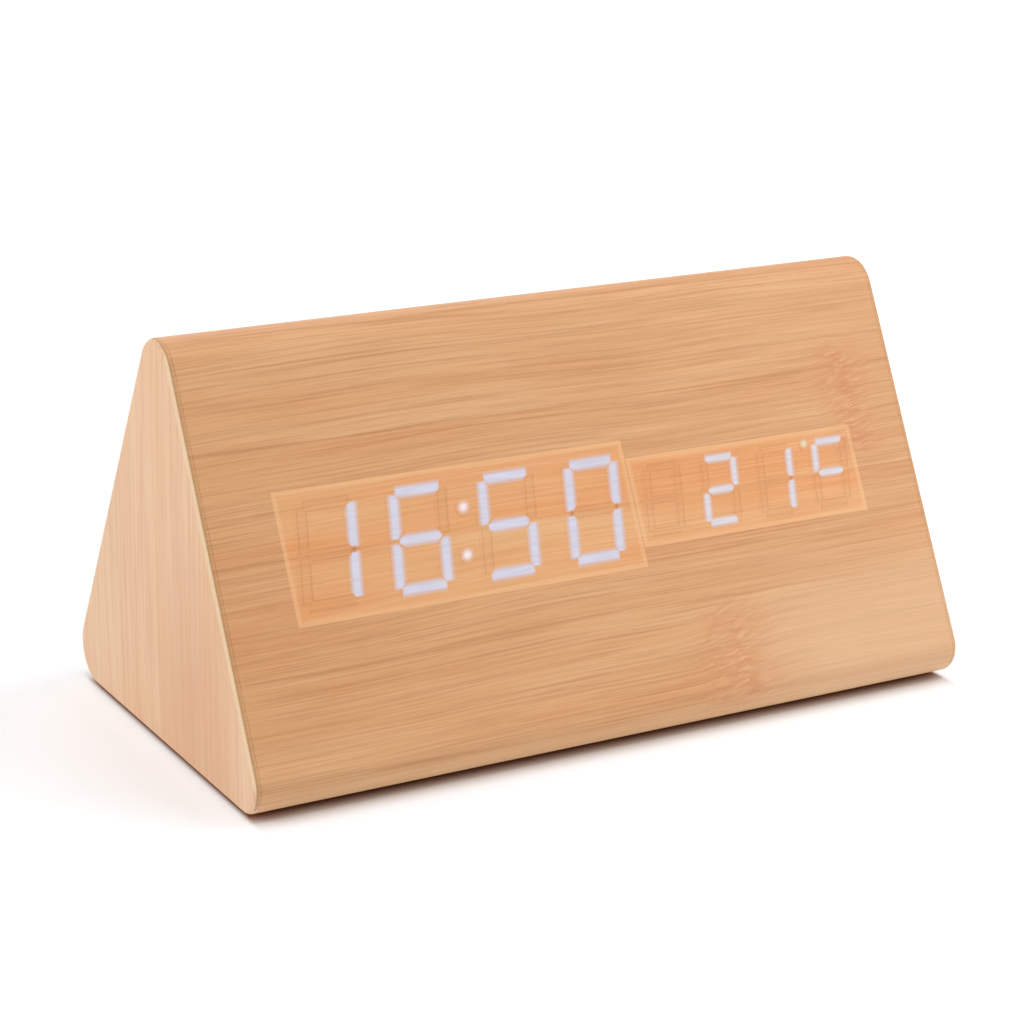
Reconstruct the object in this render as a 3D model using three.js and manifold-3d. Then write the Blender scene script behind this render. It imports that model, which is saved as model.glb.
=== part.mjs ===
// Wooden digital alarm clock: a triangular prism of veneered board with a lit display in its
// front face, three buttons and a power socket in its rear face and a battery box in its base.
// Millimetres. X runs along the clock, -Y is the front, Z is up and z = 0 is the table.
import * as THREE from "three";
import { mergeVertices } from "three/addons/utils/BufferGeometryUtils.js";
import Module from "manifold-3d";

const wasm = await Module();
wasm.setup();

// Fits and cuts
const seatGap = 0.3;
const slideGap = 0.2;
const overrun = 1;

// Cross-section of the body, between its sharp corners
const sectionWidth = 87.7;
const sectionHeight = 83.6;
const apexRadius = 7;
const frontCornerRadius = 5.5;
const rearCornerRadius = 7;
const cavityCornerRadius = 2;
const cornerStepCount = 9;

// Boards and veneer of the body
const veneerThickness = 0.5;
const glueLine = 0.1;
const wallThickness = 5;
const floorThickness = 7.4;
const endThickness = 6;
const endLip = 1.2;
const endEdgeBevel = 0.7;

// Display windows along the front face, from the left end to the right end
const leftMargin = 13.9;
const timeWindowWidth = 71.5;
const temperatureWindowWidth = 51.1;
const rightMargin = 13.5;
const timeWindowHeight = 24.3;
const temperatureWindowHeight = 17.2;
const displayMiddle = 45.1;

// Digits
const digitCount = 4;
const digitSlant = 0.1425;
const timePitchShare = 0.2517;
const timeWidthShare = 0.1343;
const timeHeightShare = 0.7243;
const timeStroke = 1.75;
const timeTipGap = 0.55;
const colonSpreadShare = 0.489;
const colonDot = 2.1;
const temperaturePitchShare = 0.2485;
const temperatureWidthShare = 0.1292;
const temperatureHeightShare = 0.6977;
const temperatureStroke = 1.25;
const temperatureTipGap = 0.4;
const degreeAcrossShare = 1.055;
const degreeUpShare = 0.508;
const degreeWidth = 1.5;
const degreeHeight = 1.9;

// Display stack behind the face
const markGap = 0.12;
const guideWeb = 0.9;
const reflectorDepth = 7;
const flangeSideReach = 3.2;
const flangeEndClearance = 1.5;
const wellBackShare = 0.66;
const ledHeight = 0.7;
const ledLengthShare = 0.75;
const ledWidthShare = 0.42;
const boardThickness = 1.6;

// Screws
const boardScrewRadius = 1;
const boardScrewHeadRadius = 2;
const boardScrewHeadHeight = 1.4;
const boardScrewBite = 2.6;
const spacerWall = 1.1;
const baseScrewRadius = 1.25;
const baseScrewHeadRadius = 2.7;
const baseScrewHeadHeight = 1.6;
const baseScrewLength = 6.5;
const baseScrewSink = 0.2;

// Buttons and their switches in the rear face
const buttonRise = 5.5;
const buttonPitch = 14;
const buttonRadius = 3;
const buttonProud = 1.2;
const buttonEdge = 0.5;
const buttonFlangeReach = 1.3;
const buttonFlangeThickness = 1;
const plungerRadius = 1.75;
const plungerStand = 1.2;
const plungerDepth = 2;
const plungerTravel = 0.5;
const switchSide = 6;
const switchHeight = 3.6;

// Power socket in the rear face
const jackInset = 13;
const jackDrop = 2.5;
const jackBarrelRadius = 3.9;
const jackBoreRadius = 2.85;
const jackPinRadius = 1.05;
const jackRecess = 0.4;
const jackPinRecess = 1.4;
const jackBoreDepth = 9.6;
const jackSide = 9;

// Main board on the inside of the rear face
const mainBoardLength = 86;
const mainBoardHeight = 27;
const boardAboveBox = 2.95;
const mainScrewInset = 3.2;
const chipLength = 12.5;
const chipWidth = 7.5;
const chipHeight = 1.9;
const chipLegCount = 8;
const chipLegWidth = 0.5;
const chipLegReach = 1.3;
const chipLegThickness = 0.3;
const crystalRadius = 1.5;
const crystalLength = 8;
const capacitorRadius = 3.15;
const capacitorHeight = 7;
const capacitorEdge = 0.5;
const buzzerRadius = 6;
const buzzerHeight = 7.5;
const buzzerHoleRadius = 1.1;
const buzzerHoleDepth = 2.5;
const microphoneRadius = 3;
const microphoneHeight = 2.4;
const microphoneHoleRadius = 0.8;
const sensorBeadRadius = 1.3;
const sensorLegRadius = 0.25;
const sensorLegLength = 5;
const sensorLegSpread = 1.3;
const chipPlaceShares = [-0.1, -0.06];
const crystalPlaceShares = [0.09, 0.16];
const capacitorPlaceShares = [0.07, -0.25];
const buzzerPlaceShares = [-0.35, 0.02];
const microphonePlaceShares = [-0.3, 0.12];
const sensorPlaceShares = [0.43, 0.33];

// Batteries
const cellRadius = 5.25;
const cellLength = 44.5;
const cellEdge = 0.5;
const cellNubRadius = 1.9;
const cellNubHeight = 0.8;
const cellPitch = 11.2;
const cellCount = 4;
const troughGap = 0.2;

// Battery contacts
const contactThickness = 0.4;
const contactSide = 7.6;
const springLength = 4.4;
const springWire = 0.3;
const springBaseRadius = 3.2;
const springTipRadius = 2;
const springCurlCount = 3.5;
const curlStepCount = 8;
const springSideCount = 5;
const contactTabWidth = 2.6;
const contactTabRise = 2.2;

// Battery box, its door and the base panel
const basePanelThickness = 4;
const boxWall = 1.2;
const boxEndWall = 1.5;
const boxRimWall = 2.2;
const boxFlangeReach = 4.5;
const boxFlangeThickness = 1.5;
const doorThickness = 1.6;
const doorLedge = 0.75;
const doorCellGap = 0.5;
const doorTabWidth = 6;
const doorTabReach = 1.5;
const doorTabThickness = 0.8;
const doorTabPlaceShare = 0.6;
const latchWidth = 10;
const latchLength = 8;
const latchSlot = 0.8;
const latchNib = 0.15;
const latchRib = 0.5;
const latchRibCount = 3;
const scoopRadius = 5;
const scoopDepth = 1.6;
const basePanelEndReach = 36;
const basePanelSideReach = 5.2;
const baseLedge = 10;
const baseSideLedge = 3.5;
const baseScrewInset = 4.5;
const baseScrewAcross = 13;

// Feet
const footProud = 1;
const footRadius = 5;
const footSink = 0.8;
const footEdge = 0.4;
const footInset = 8;

// Cables
const leadRadius = 0.65;
const leadLift = 5;
const leadSideCount = 8;
const leadStepCount = 14;
const leadPlaceShares = [0.31, 0.2];
const leadHeightShare = -0.4;
const ribbonWidth = 12;
const ribbonThickness = 0.9;
const ribbonReach = 10;
const ribbonStepCount = 16;
const ribbonPlaceShare = 0.26;

// Facets
const roundSideCount = 18;
const smallSideCount = 8;

// Worked out from the sizes above
const bodyLength = leftMargin + timeWindowWidth + temperatureWindowWidth + rightMargin;
const halfLength = bodyLength / 2;
const halfApexAngle = Math.atan2(sectionWidth / 2, sectionHeight);
const faceAngle = Math.PI / 2 - halfApexAngle;
const skin = veneerThickness + glueLine;
const wallDepth = skin + wallThickness;
const innerEnd = halfLength - endThickness;
const timeCentre = -halfLength + leftMargin + timeWindowWidth / 2;
const temperatureCentre = halfLength - rightMargin - temperatureWindowWidth / 2;

// Digits, from the windows that they stand in
const timeDigitPitch = timeWindowWidth * timePitchShare;
const timeDigitWidth = timeWindowWidth * timeWidthShare;
const timeDigitHeight = timeWindowHeight * timeHeightShare;
const colonSpread = timeDigitHeight * colonSpreadShare;
const temperatureDigitPitch = temperatureWindowWidth * temperaturePitchShare;
const temperatureDigitWidth = temperatureWindowWidth * temperatureWidthShare;
const temperatureDigitHeight = temperatureWindowHeight * temperatureHeightShare;
const degreeAcross = temperatureDigitPitch * degreeAcrossShare;
const degreeUp = temperatureDigitHeight * degreeUpShare;

// Depths behind the front face
const guideFront = veneerThickness + seatGap;
const reflectorFront = guideFront + guideWeb + seatGap;
const reflectorBack = reflectorFront + reflectorDepth;
const displayBoardFace = reflectorBack + seatGap;
const displayBoardBack = displayBoardFace + boardThickness;
const flangeEndReach = Math.min(leftMargin, rightMargin) - endThickness - flangeEndClearance;

// Depths behind the rear face
const buttonFlangeFace = wallDepth + seatGap;
const buttonFlangeBack = buttonFlangeFace + buttonFlangeThickness;
const plungerTip = buttonFlangeBack + glueLine;
const switchFace = plungerTip + plungerStand;
const mainBoardFace = switchFace + switchHeight + seatGap;
const mainBoardBack = mainBoardFace + boardThickness;

// Heights in the base
const basePanelTop = skin + basePanelThickness;
const floorTop = skin + floorThickness;
const doorTop = skin + doorThickness;
const cellAxis = doorTop + doorCellGap + cellRadius;
const troughRadius = cellRadius + troughGap;
const boxInnerHalf = (cellLength + springLength + 2 * contactThickness + 2 * seatGap) / 2;
const boxOuterHalf = boxInnerHalf + boxEndWall;
const bayHalfWidth = (cellCount - 1) * cellPitch / 2 + troughRadius;
const doorHalfLength = boxInnerHalf + doorLedge - seatGap;
const doorHalfWidth = bayHalfWidth + doorLedge - seatGap;
const rimHalfLength = boxInnerHalf + doorLedge + boxRimWall;
const rimHalfWidth = bayHalfWidth + doorLedge + boxRimWall;
const basePanelHalfLength = rimHalfLength + basePanelEndReach;
const basePanelHalfWidth = rimHalfWidth + basePanelSideReach;

// Heights up the rear face: the main board clears the battery box, and its parts go with it
const boxTop = cellAxis + troughRadius + boxWall;
const boardDepth = mainBoardBack * Math.cos(faceAngle);
const mainBoardFoot = (boxTop + boardAboveBox + boardDepth) / Math.sin(faceAngle);
const mainBoardMiddle = mainBoardFoot + mainBoardHeight / 2;
const buttonMiddle = mainBoardMiddle + buttonRise;
const jackMiddle = mainBoardMiddle - jackDrop;
const jackAcross = mainBoardLength / 2 - jackInset;

// Materials
const paint = (color, roughness, metalness = 0) =>
  new THREE.MeshStandardMaterial({ color, roughness, metalness });
const materials = {
  bamboo: paint(0xd8a470, 0.5),
  endGrain: paint(0xe8c49c, 0.55),
  window: paint(0xe8a468, 0.5),
  board: paint(0x9c7a52, 0.8),
  guide: paint(0xe4e2f4, 0.35),
  reflector: paint(0xf2f0ea, 0.6),
  circuit: paint(0x1f5a34, 0.5),
  blackPlastic: paint(0x1c1c1e, 0.5),
  rubber: paint(0x2a2622, 0.9),
  steel: paint(0xb9bcc0, 0.35, 1),
  whiteWire: paint(0xd9d9d6, 0.6),
  redWire: paint(0xb3241c, 0.6),
  blackWire: paint(0x1a1a1a, 0.6),
  cell: paint(0x3f5f86, 0.4, 0.3),
};

// Solids

// A closed solid from a geometry, with its shared points merged.
function solidOf(geometry) {
  const bare = geometry.clone();
  bare.deleteAttribute("normal");
  bare.deleteAttribute("uv");
  const merged = mergeVertices(bare);
  const triVerts = new Uint32Array(merged.index.array);
  const vertProperties = new Float32Array(merged.attributes.position.array);
  return new wasm.Manifold(new wasm.Mesh({ numProp: 3, vertProperties, triVerts }));
}

function geometryOf(solid) {
  const { vertProperties, triVerts } = solid.getMesh();
  const indexed = new THREE.BufferGeometry();
  indexed.setAttribute("position", new THREE.BufferAttribute(vertProperties, 3));
  indexed.setIndex(new THREE.BufferAttribute(triVerts, 1));
  const geometry = indexed.toNonIndexed();
  geometry.computeVertexNormals();
  return geometry;
}

// The pieces joined into one body, with every cut taken out of it.
function carved(pieces, cuts = []) {
  const joined = pieces.map(solidOf).reduce((whole, piece) => whole.add(piece));
  const result = cuts.map(solidOf).reduce((whole, cut) => whole.subtract(cut), joined);
  return geometryOf(result);
}

function block(x0, x1, y0, y1, z0, z1) {
  const box = new THREE.BoxGeometry(x1 - x0, y1 - y0, z1 - z0);
  return box.translate((x0 + x1) / 2, (y0 + y1) / 2, (z0 + z1) / 2);
}

// A block given by its middle and its sizes in X and Y.
function pad(x, y, width, height, z0, z1) {
  return block(x - width / 2, x + width / 2, y - height / 2, y + height / 2, z0, z1);
}

// A round rod along Z.
function rod(radius, x, y, z0, z1, sides = smallSideCount) {
  const cylinder = new THREE.CylinderGeometry(radius, radius, z1 - z0, sides);
  return cylinder.rotateX(Math.PI / 2).translate(x, y, (z0 + z1) / 2);
}

// A shape turned about Z, from its profile of radius and height, lowest point first.
function turned(profile, x, y, sides = smallSideCount) {
  const points = profile.map(([radius, height]) => new THREE.Vector2(radius, height));
  return new THREE.LatheGeometry(points, sides).rotateX(Math.PI / 2).translate(x, y, 0);
}

// A plate with holes, its outline and holes given as rings of points.
function plate(ring, holes, z0, z1) {
  const shape = new THREE.Shape(ring);
  shape.holes = holes.map((hole) => new THREE.Path(hole));
  const settings = { depth: z1 - z0, bevelEnabled: false };
  return new THREE.ExtrudeGeometry(shape, settings).translate(0, 0, z0);
}

// A body between two rings with as many points, one above the other.
function loft(lowRing, lowZ, highRing, highZ) {
  const count = lowRing.length;
  const points = [
    ...lowRing.map((point) => [point.x, point.y, lowZ]),
    ...highRing.map((point) => [point.x, point.y, highZ]),
  ];
  const index = [];
  for (let i = 0; i < count; i += 1) {
    const next = (i + 1) % count;
    index.push(i, next, count + next, i, count + next, count + i);
  }
  THREE.ShapeUtils.triangulateShape(lowRing, []).forEach(([a, b, c]) => {
    index.push(c, b, a, count + a, count + b, count + c);
  });
  const geometry = new THREE.BufferGeometry();
  geometry.setAttribute("position", new THREE.Float32BufferAttribute(points.flat(), 3));
  geometry.setIndex(index);
  const faceted = geometry.toNonIndexed();
  faceted.computeVertexNormals();
  return faceted;
}

function rectangleRing(x, y, width, height) {
  return [
    new THREE.Vector2(x - width / 2, y - height / 2),
    new THREE.Vector2(x + width / 2, y - height / 2),
    new THREE.Vector2(x + width / 2, y + height / 2),
    new THREE.Vector2(x - width / 2, y + height / 2),
  ];
}

// Takes a shape drawn in Y and Z with its depth along X to its place.
const lengthwise = new THREE.Matrix4().makeBasis(
  new THREE.Vector3(0, 1, 0),
  new THREE.Vector3(0, 0, 1),
  new THREE.Vector3(1, 0, 0),
);

// Frames of the front and rear faces: X across, Y up the slope, Z out of the face.
function faceFrame(side) {
  const frame = new THREE.Group();
  frame.position.set(0, side * sectionWidth / 2, 0);
  frame.rotation.set(faceAngle, 0, side > 0 ? Math.PI : 0, "ZXY");
  frame.updateMatrix();
  return frame;
}

const clock = new THREE.Group();
clock.position.z = footProud;
const frontFace = faceFrame(-1);
const rearFace = faceFrame(1);
clock.add(frontFace, rearFace);

function addPart(name, geometry, material, parent = clock) {
  const mesh = new THREE.Mesh(geometry, material);
  mesh.name = name;
  parent.add(mesh);
}

// Cross-section

// Corners of the triangle with its slopes moved in by wall and its base moved up by floor.
function sectionCorners(wall, floor) {
  const tip = sectionHeight - wall / Math.sin(halfApexAngle);
  const half = (tip - floor) * Math.tan(halfApexAngle);
  return [
    new THREE.Vector2(-half, floor),
    new THREE.Vector2(half, floor),
    new THREE.Vector2(0, tip),
  ];
}

function roundedRing(corners, radii) {
  return corners.flatMap((corner, i) => {
    const incoming = corner.clone().sub(corners[(i + 2) % 3]).normalize();
    const outgoing = corners[(i + 1) % 3].clone().sub(corner).normalize();
    const turn = Math.acos(incoming.dot(outgoing));
    const reach = radii[i] * Math.tan(turn / 2);
    const start = Math.atan2(-incoming.x, incoming.y);
    const centre = corner.clone().addScaledVector(incoming, -reach);
    centre.x -= radii[i] * Math.cos(start);
    centre.y -= radii[i] * Math.sin(start);
    return Array.from({ length: cornerStepCount + 1 }, (_, step) => {
      const angle = start + turn * step / cornerStepCount;
      const x = centre.x + radii[i] * Math.cos(angle);
      const y = centre.y + radii[i] * Math.sin(angle);
      return new THREE.Vector2(x, y);
    });
  });
}

function sectionRing(inset) {
  const radii = [frontCornerRadius, rearCornerRadius, apexRadius];
  return roundedRing(sectionCorners(inset, inset), radii.map((radius) => radius - inset));
}

// Display layout, in the front face's frame

const timeDisplay = {
  centre: timeCentre,
  width: timeWindowWidth,
  height: timeWindowHeight,
  pitch: timeDigitPitch,
  digitWidth: timeDigitWidth,
  digitHeight: timeDigitHeight,
  stroke: timeStroke,
  tipGap: timeTipGap,
  spots: [
    { x: 0, y: colonSpread / 2, width: colonDot, height: colonDot },
    { x: 0, y: -colonSpread / 2, width: colonDot, height: colonDot },
  ],
};

const temperatureDisplay = {
  centre: temperatureCentre,
  width: temperatureWindowWidth,
  height: temperatureWindowHeight,
  pitch: temperatureDigitPitch,
  digitWidth: temperatureDigitWidth,
  digitHeight: temperatureDigitHeight,
  stroke: temperatureStroke,
  tipGap: temperatureTipGap,
  spots: [{ x: degreeAcross, y: degreeUp, width: degreeWidth, height: degreeHeight }],
};

// Both ends of a digit's seven bars, as shares of its width and height.
const barEndShares = [
  [-0.5, 0.5, 0.5, 0.5],
  [0.5, 0.5, 0.5, 0],
  [0.5, 0, 0.5, -0.5],
  [-0.5, -0.5, 0.5, -0.5],
  [-0.5, -0.5, -0.5, 0],
  [-0.5, 0, -0.5, 0.5],
  [-0.5, 0, 0.5, 0],
];

// A bar with pointed ends, between two corners of a digit.
function barRing(start, end, halfStroke, tipGap) {
  const along = end.clone().sub(start).normalize();
  const across = new THREE.Vector2(-along.y, along.x);
  const shoulder = tipGap + halfStroke;
  const point = (from, forward, sideways) =>
    from.clone().addScaledVector(along, forward).addScaledVector(across, sideways);
  return [
    point(start, tipGap, 0),
    point(start, shoulder, -halfStroke),
    point(end, -shoulder, -halfStroke),
    point(end, -tipGap, 0),
    point(end, -shoulder, halfStroke),
    point(start, shoulder, halfStroke),
  ];
}

// Leans a ring over to the right about the middle of the display.
function leaned(ring, centre) {
  return ring.map(({ x, y }) => new THREE.Vector2(centre + x + y * digitSlant, displayMiddle + y));
}

// Rings of all the bars and dots of a display, each grown by a margin on every side.
function displayMarks(display, margin) {
  const { centre, pitch, digitWidth, digitHeight, stroke, tipGap, spots } = display;
  const rings = [];
  for (let digit = 0; digit < digitCount; digit += 1) {
    const offset = (digit - (digitCount - 1) / 2) * pitch;
    barEndShares.forEach(([x0, y0, x1, y1]) => {
      const start = new THREE.Vector2(offset + x0 * digitWidth, y0 * digitHeight);
      const end = new THREE.Vector2(offset + x1 * digitWidth, y1 * digitHeight);
      rings.push(barRing(start, end, stroke / 2 + margin, tipGap - margin * Math.SQRT2));
    });
  }
  spots.forEach(({ x, y, width, height }) => {
    rings.push(rectangleRing(x, y, width + 2 * margin, height + 2 * margin));
  });
  return rings.map((ring) => leaned(ring, centre));
}

// A ring drawn in towards its own middle.
function shrunk(ring, share) {
  const middle = ring.reduce((sum, point) => sum.add(point), new THREE.Vector2());
  middle.divideScalar(ring.length);
  return ring.map((point) => point.clone().sub(middle).multiplyScalar(share).add(middle));
}

function middleOf(ring) {
  const box = new THREE.Box2().setFromPoints(ring);
  return box.getCenter(new THREE.Vector2());
}

// Places

const flangeEnds = { left: -halfLength + leftMargin - flangeEndReach };
flangeEnds.right = halfLength - rightMargin + flangeEndReach;
const blocksMeet = -halfLength + leftMargin + timeWindowWidth;

const displayScrewPlaces = [
  [flangeEnds.left + flangeEndReach / 2, timeWindowHeight / 2],
  [flangeEnds.left + flangeEndReach / 2, -timeWindowHeight / 2],
  [flangeEnds.right - flangeEndReach / 2, temperatureWindowHeight / 2],
  [flangeEnds.right - flangeEndReach / 2, -temperatureWindowHeight / 2],
].map(([x, y]) => [x, displayMiddle + y]);

const mainScrewPlaces = [-1, 1].map((side) => [
  side * (mainBoardLength / 2 - mainScrewInset),
  mainBoardMiddle,
]);

const baseScrewPlaces = [-1, 1].flatMap((end) => [-1, 1].map((side) => [
  end * (basePanelHalfLength - baseScrewInset),
  side * baseScrewAcross,
]));

const footPlaces = [-1, 1].flatMap((end) => [-1, 1].map((side) => [
  end * (basePanelHalfLength - footInset),
  side * (basePanelHalfWidth - footInset),
]));

const buttonNames = ["set", "up", "down"];
const buttonPlaces = buttonNames.map((_, i) => (i - 1) * buttonPitch);
const cellPlaces = Array.from({ length: cellCount }, (_, i) => (i - (cellCount - 1) / 2) * cellPitch);

// Place of a component on the main board, from shares of the board's length and height.
const onMainBoard = ([along, up]) => [
  along * mainBoardLength,
  mainBoardMiddle + up * mainBoardHeight,
];

// Casing

function addShell() {
  const outside = plate(sectionRing(skin), [], -innerEnd, innerEnd).applyMatrix4(lengthwise);
  const radii = [cavityCornerRadius, cavityCornerRadius, cavityCornerRadius];
  const cavityRing = roundedRing(sectionCorners(wallDepth, floorTop), radii);
  const cavity = plate(cavityRing, [], -innerEnd - overrun, innerEnd + overrun);
  const pilot = boardScrewRadius + slideGap;
  const frontCuts = [
    ...[timeDisplay, temperatureDisplay].map(({ centre, width, height }) => pad(
      centre, displayMiddle,
      width + 2 * seatGap, height + 2 * seatGap,
      -wallDepth - overrun, overrun,
    )),
    ...displayScrewPlaces.map(([x, y]) =>
      rod(pilot, x, y, -wallDepth - overrun, boardScrewBite - wallDepth + seatGap)),
  ];
  const rearCuts = [
    ...buttonPlaces.map((x) =>
      rod(buttonRadius + seatGap, x, buttonMiddle, -wallDepth - overrun, overrun, roundSideCount)),
    rod(jackBarrelRadius + seatGap, jackAcross, jackMiddle, -wallDepth - overrun, overrun, roundSideCount),
    ...mainScrewPlaces.map(([x, y]) =>
      rod(pilot, x, y, -wallDepth - overrun, boardScrewBite - wallDepth + seatGap)),
  ];
  const panelBed = pad(
    0, 0,
    2 * (basePanelHalfLength + seatGap), 2 * (basePanelHalfWidth + seatGap),
    -overrun, basePanelTop,
  );
  const floorOpening = pad(
    0, 0,
    2 * (basePanelHalfLength - baseLedge), 2 * (basePanelHalfWidth - baseSideLedge),
    -overrun, floorTop + overrun,
  );
  const baseHoles = baseScrewPlaces.map(([x, y]) =>
    rod(baseScrewRadius + slideGap, x, y, -overrun, skin + baseScrewSink + baseScrewLength + seatGap));
  addPart("case_shell", carved([outside], [
    cavity.applyMatrix4(lengthwise),
    ...frontCuts.map((cut) => cut.applyMatrix4(frontFace.matrix)),
    ...rearCuts.map((cut) => cut.applyMatrix4(rearFace.matrix)),
    panelBed, floorOpening, ...baseHoles,
  ]), materials.board);
}

// The veneer goes round the front, the apex and the rear, and ends under both lower corners.
function addVeneer() {
  const reach = halfLength - endLip - glueLine;
  const band = plate(sectionRing(0), [sectionRing(veneerThickness)], -reach, reach);
  const [front, rear] = sectionCorners(0, 0);
  const frontFlat = front.x + frontCornerRadius * Math.tan((Math.PI - faceAngle) / 2);
  const rearFlat = rear.x - rearCornerRadius * Math.tan((Math.PI - faceAngle) / 2);
  const underside = block(
    -halfLength, halfLength, frontFlat, rearFlat, -overrun, veneerThickness + glueLine,
  );
  const windows = [timeDisplay, temperatureDisplay].map(({ centre, width, height }) =>
    pad(centre, displayMiddle, width, height, -skin, overrun).applyMatrix4(frontFace.matrix));
  const holes = [
    ...buttonPlaces.map((x) =>
      rod(buttonRadius + seatGap, x, buttonMiddle, -skin, overrun, roundSideCount)),
    rod(jackBarrelRadius + seatGap, jackAcross, jackMiddle, -skin, overrun, roundSideCount),
  ].map((hole) => hole.applyMatrix4(rearFace.matrix));
  const cuts = [underside, ...windows, ...holes];
  addPart("veneer_wrap", carved([band.applyMatrix4(lengthwise)], cuts), materials.bamboo);
}

// An end panel: its lip shows as a bevelled edge, and the rest lies under the veneer.
function addEndPanel(name, side) {
  const lipStart = halfLength - endLip;
  const bevelStart = halfLength - endEdgeBevel;
  const full = sectionRing(0);
  const small = sectionRing(endEdgeBevel);
  const under = sectionRing(skin);
  const layers = side > 0
    ? [
      plate(under, [], innerEnd, lipStart),
      plate(full, [], lipStart, bevelStart),
      loft(full, bevelStart, small, halfLength),
    ]
    : [
      plate(under, [], -lipStart, -innerEnd),
      plate(full, [], -bevelStart, -lipStart),
      loft(small, -halfLength, full, -bevelStart),
    ];
  addPart(name, carved(layers).applyMatrix4(lengthwise), materials.endGrain);
}

// A screw along Z with a flat-topped cone or pan head, seated at height z and reaching away from it.
function screw(x, y, z, direction, { headRadius, headHeight, shankRadius, length, sunk }) {
  const head = sunk ? headHeight : -headHeight;
  const crown = sunk ? 0 : -headHeight;
  const profile = sunk
    ? [[0, length], [shankRadius, length], [shankRadius, head], [headRadius, 0], [0, 0]]
    : [[0, length], [shankRadius, length], [shankRadius, 0], [headRadius, 0], [headRadius, head / 2],
      [headRadius - headHeight / 2, crown], [0, crown]];
  const placed = profile.map(([radius, height]) => [radius, z + direction * height]);
  return turned(direction > 0 ? placed.reverse() : placed, x, y);
}

function addBasePanel() {
  const panel = block(
    -basePanelHalfLength, basePanelHalfLength, -basePanelHalfWidth, basePanelHalfWidth,
    skin, basePanelTop,
  );
  const boxHole = pad(
    0, 0, 2 * (rimHalfLength + seatGap), 2 * (rimHalfWidth + seatGap),
    -overrun, basePanelTop + overrun,
  );
  const sinkTop = skin + baseScrewSink;
  const countersinks = baseScrewPlaces.map(([x, y]) => turned([
    [0, -overrun],
    [baseScrewHeadRadius + slideGap, -overrun],
    [baseScrewHeadRadius + slideGap, sinkTop],
    [baseScrewRadius + slideGap, sinkTop + baseScrewHeadHeight],
    [baseScrewRadius + slideGap, basePanelTop + overrun],
    [0, basePanelTop + overrun],
  ], x, y));
  const footSeats = footPlaces.map(([x, y]) =>
    rod(footRadius + slideGap, x, y, -overrun, skin + footSink, roundSideCount));
  addPart("base_panel", carved([panel], [boxHole, ...countersinks, ...footSeats]), materials.board);
  baseScrewPlaces.forEach(([x, y], i) => addPart(`base_screw_${i + 1}`, screw(x, y, sinkTop, 1, {
    headRadius: baseScrewHeadRadius,
    headHeight: baseScrewHeadHeight,
    shankRadius: baseScrewRadius,
    length: baseScrewLength,
    sunk: true,
  }), materials.steel));
  footPlaces.forEach(([x, y], i) => addPart(`rubber_foot_${i + 1}`, turned([
    [0, -footProud],
    [footRadius - footEdge, -footProud],
    [footRadius, footEdge - footProud],
    [footRadius, skin + footSink],
    [0, skin + footSink],
  ], x, y, roundSideCount), materials.rubber));
}

// Display

// The thinned veneer of a window, cut through at every bar and dot.
function addWindow(name, display) {
  const outline = rectangleRing(
    display.centre, displayMiddle, display.width - 2 * glueLine, display.height - 2 * glueLine,
  );
  const marks = displayMarks(display, markGap);
  addPart(name, plate(outline, marks, -veneerThickness, 0), materials.window, frontFace);
}

// A clear web with a raised light pipe for each bar and dot, level with the face.
function addLightGuide(name, display) {
  const web = pad(
    display.centre, displayMiddle, display.width, display.height, -guideFront - guideWeb, -guideFront,
  );
  const pipes = displayMarks(display, 0).map((ring) => plate(ring, [], -guideFront - guideWeb, 0));
  addPart(name, carved([web, ...pipes]), materials.guide, frontFace);
}

// The white block behind a light guide: each bar has a well that narrows towards its lamp.
function addReflector(name, display, flangeLeft, flangeRight) {
  const { centre, width, height } = display;
  const body = pad(centre, displayMiddle, width, height, -reflectorBack, -reflectorFront);
  const flange = block(
    flangeLeft, flangeRight,
    displayMiddle - height / 2 - flangeSideReach, displayMiddle + height / 2 + flangeSideReach,
    -reflectorBack, -wallDepth - seatGap,
  );
  const wells = displayMarks(display, markGap).map((ring) => {
    const depth = reflectorDepth + 2 * overrun;
    const narrow = shrunk(ring, 1 - (1 - wellBackShare) * depth / reflectorDepth);
    return loft(narrow, -reflectorBack - overrun, ring, -reflectorFront + overrun);
  });
  const holes = displayScrewPlaces.map(([x, y]) =>
    rod(boardScrewRadius + slideGap, x, y, -reflectorBack - overrun, -wallDepth));
  addPart(name, carved([body, flange], [...wells, ...holes]), materials.reflector, frontFace);
}

function addDisplayBoard() {
  const reach = timeWindowHeight / 2 + flangeSideReach;
  const board = block(
    flangeEnds.left, flangeEnds.right, displayMiddle - reach, displayMiddle + reach,
    -displayBoardBack, -displayBoardFace,
  );
  const lamps = [timeDisplay, temperatureDisplay].flatMap((display) => {
    const length = display.stroke * ledLengthShare;
    const width = display.stroke * ledWidthShare;
    return displayMarks(display, 0).map((ring) => {
      const { x, y } = middleOf(ring);
      const box = new THREE.Box2().setFromPoints(ring).getSize(new THREE.Vector2());
      const [across, up] = box.x > box.y ? [length, width] : [width, length];
      return pad(x, y, across, up, -displayBoardBack, ledHeight - displayBoardFace);
    });
  });
  const holes = displayScrewPlaces.map(([x, y]) =>
    rod(boardScrewRadius + slideGap, x, y, -displayBoardBack - overrun, overrun - displayBoardFace));
  addPart("display_board", carved([board, ...lamps], holes), materials.circuit, frontFace);
  const length = displayBoardBack + seatGap - wallDepth + boardScrewBite;
  displayScrewPlaces.forEach(([x, y], i) => {
    const seat = -displayBoardBack - seatGap;
    addPart(`display_screw_${i + 1}`, boardScrew(x, y, seat, length), materials.steel, frontFace);
  });
}

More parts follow.
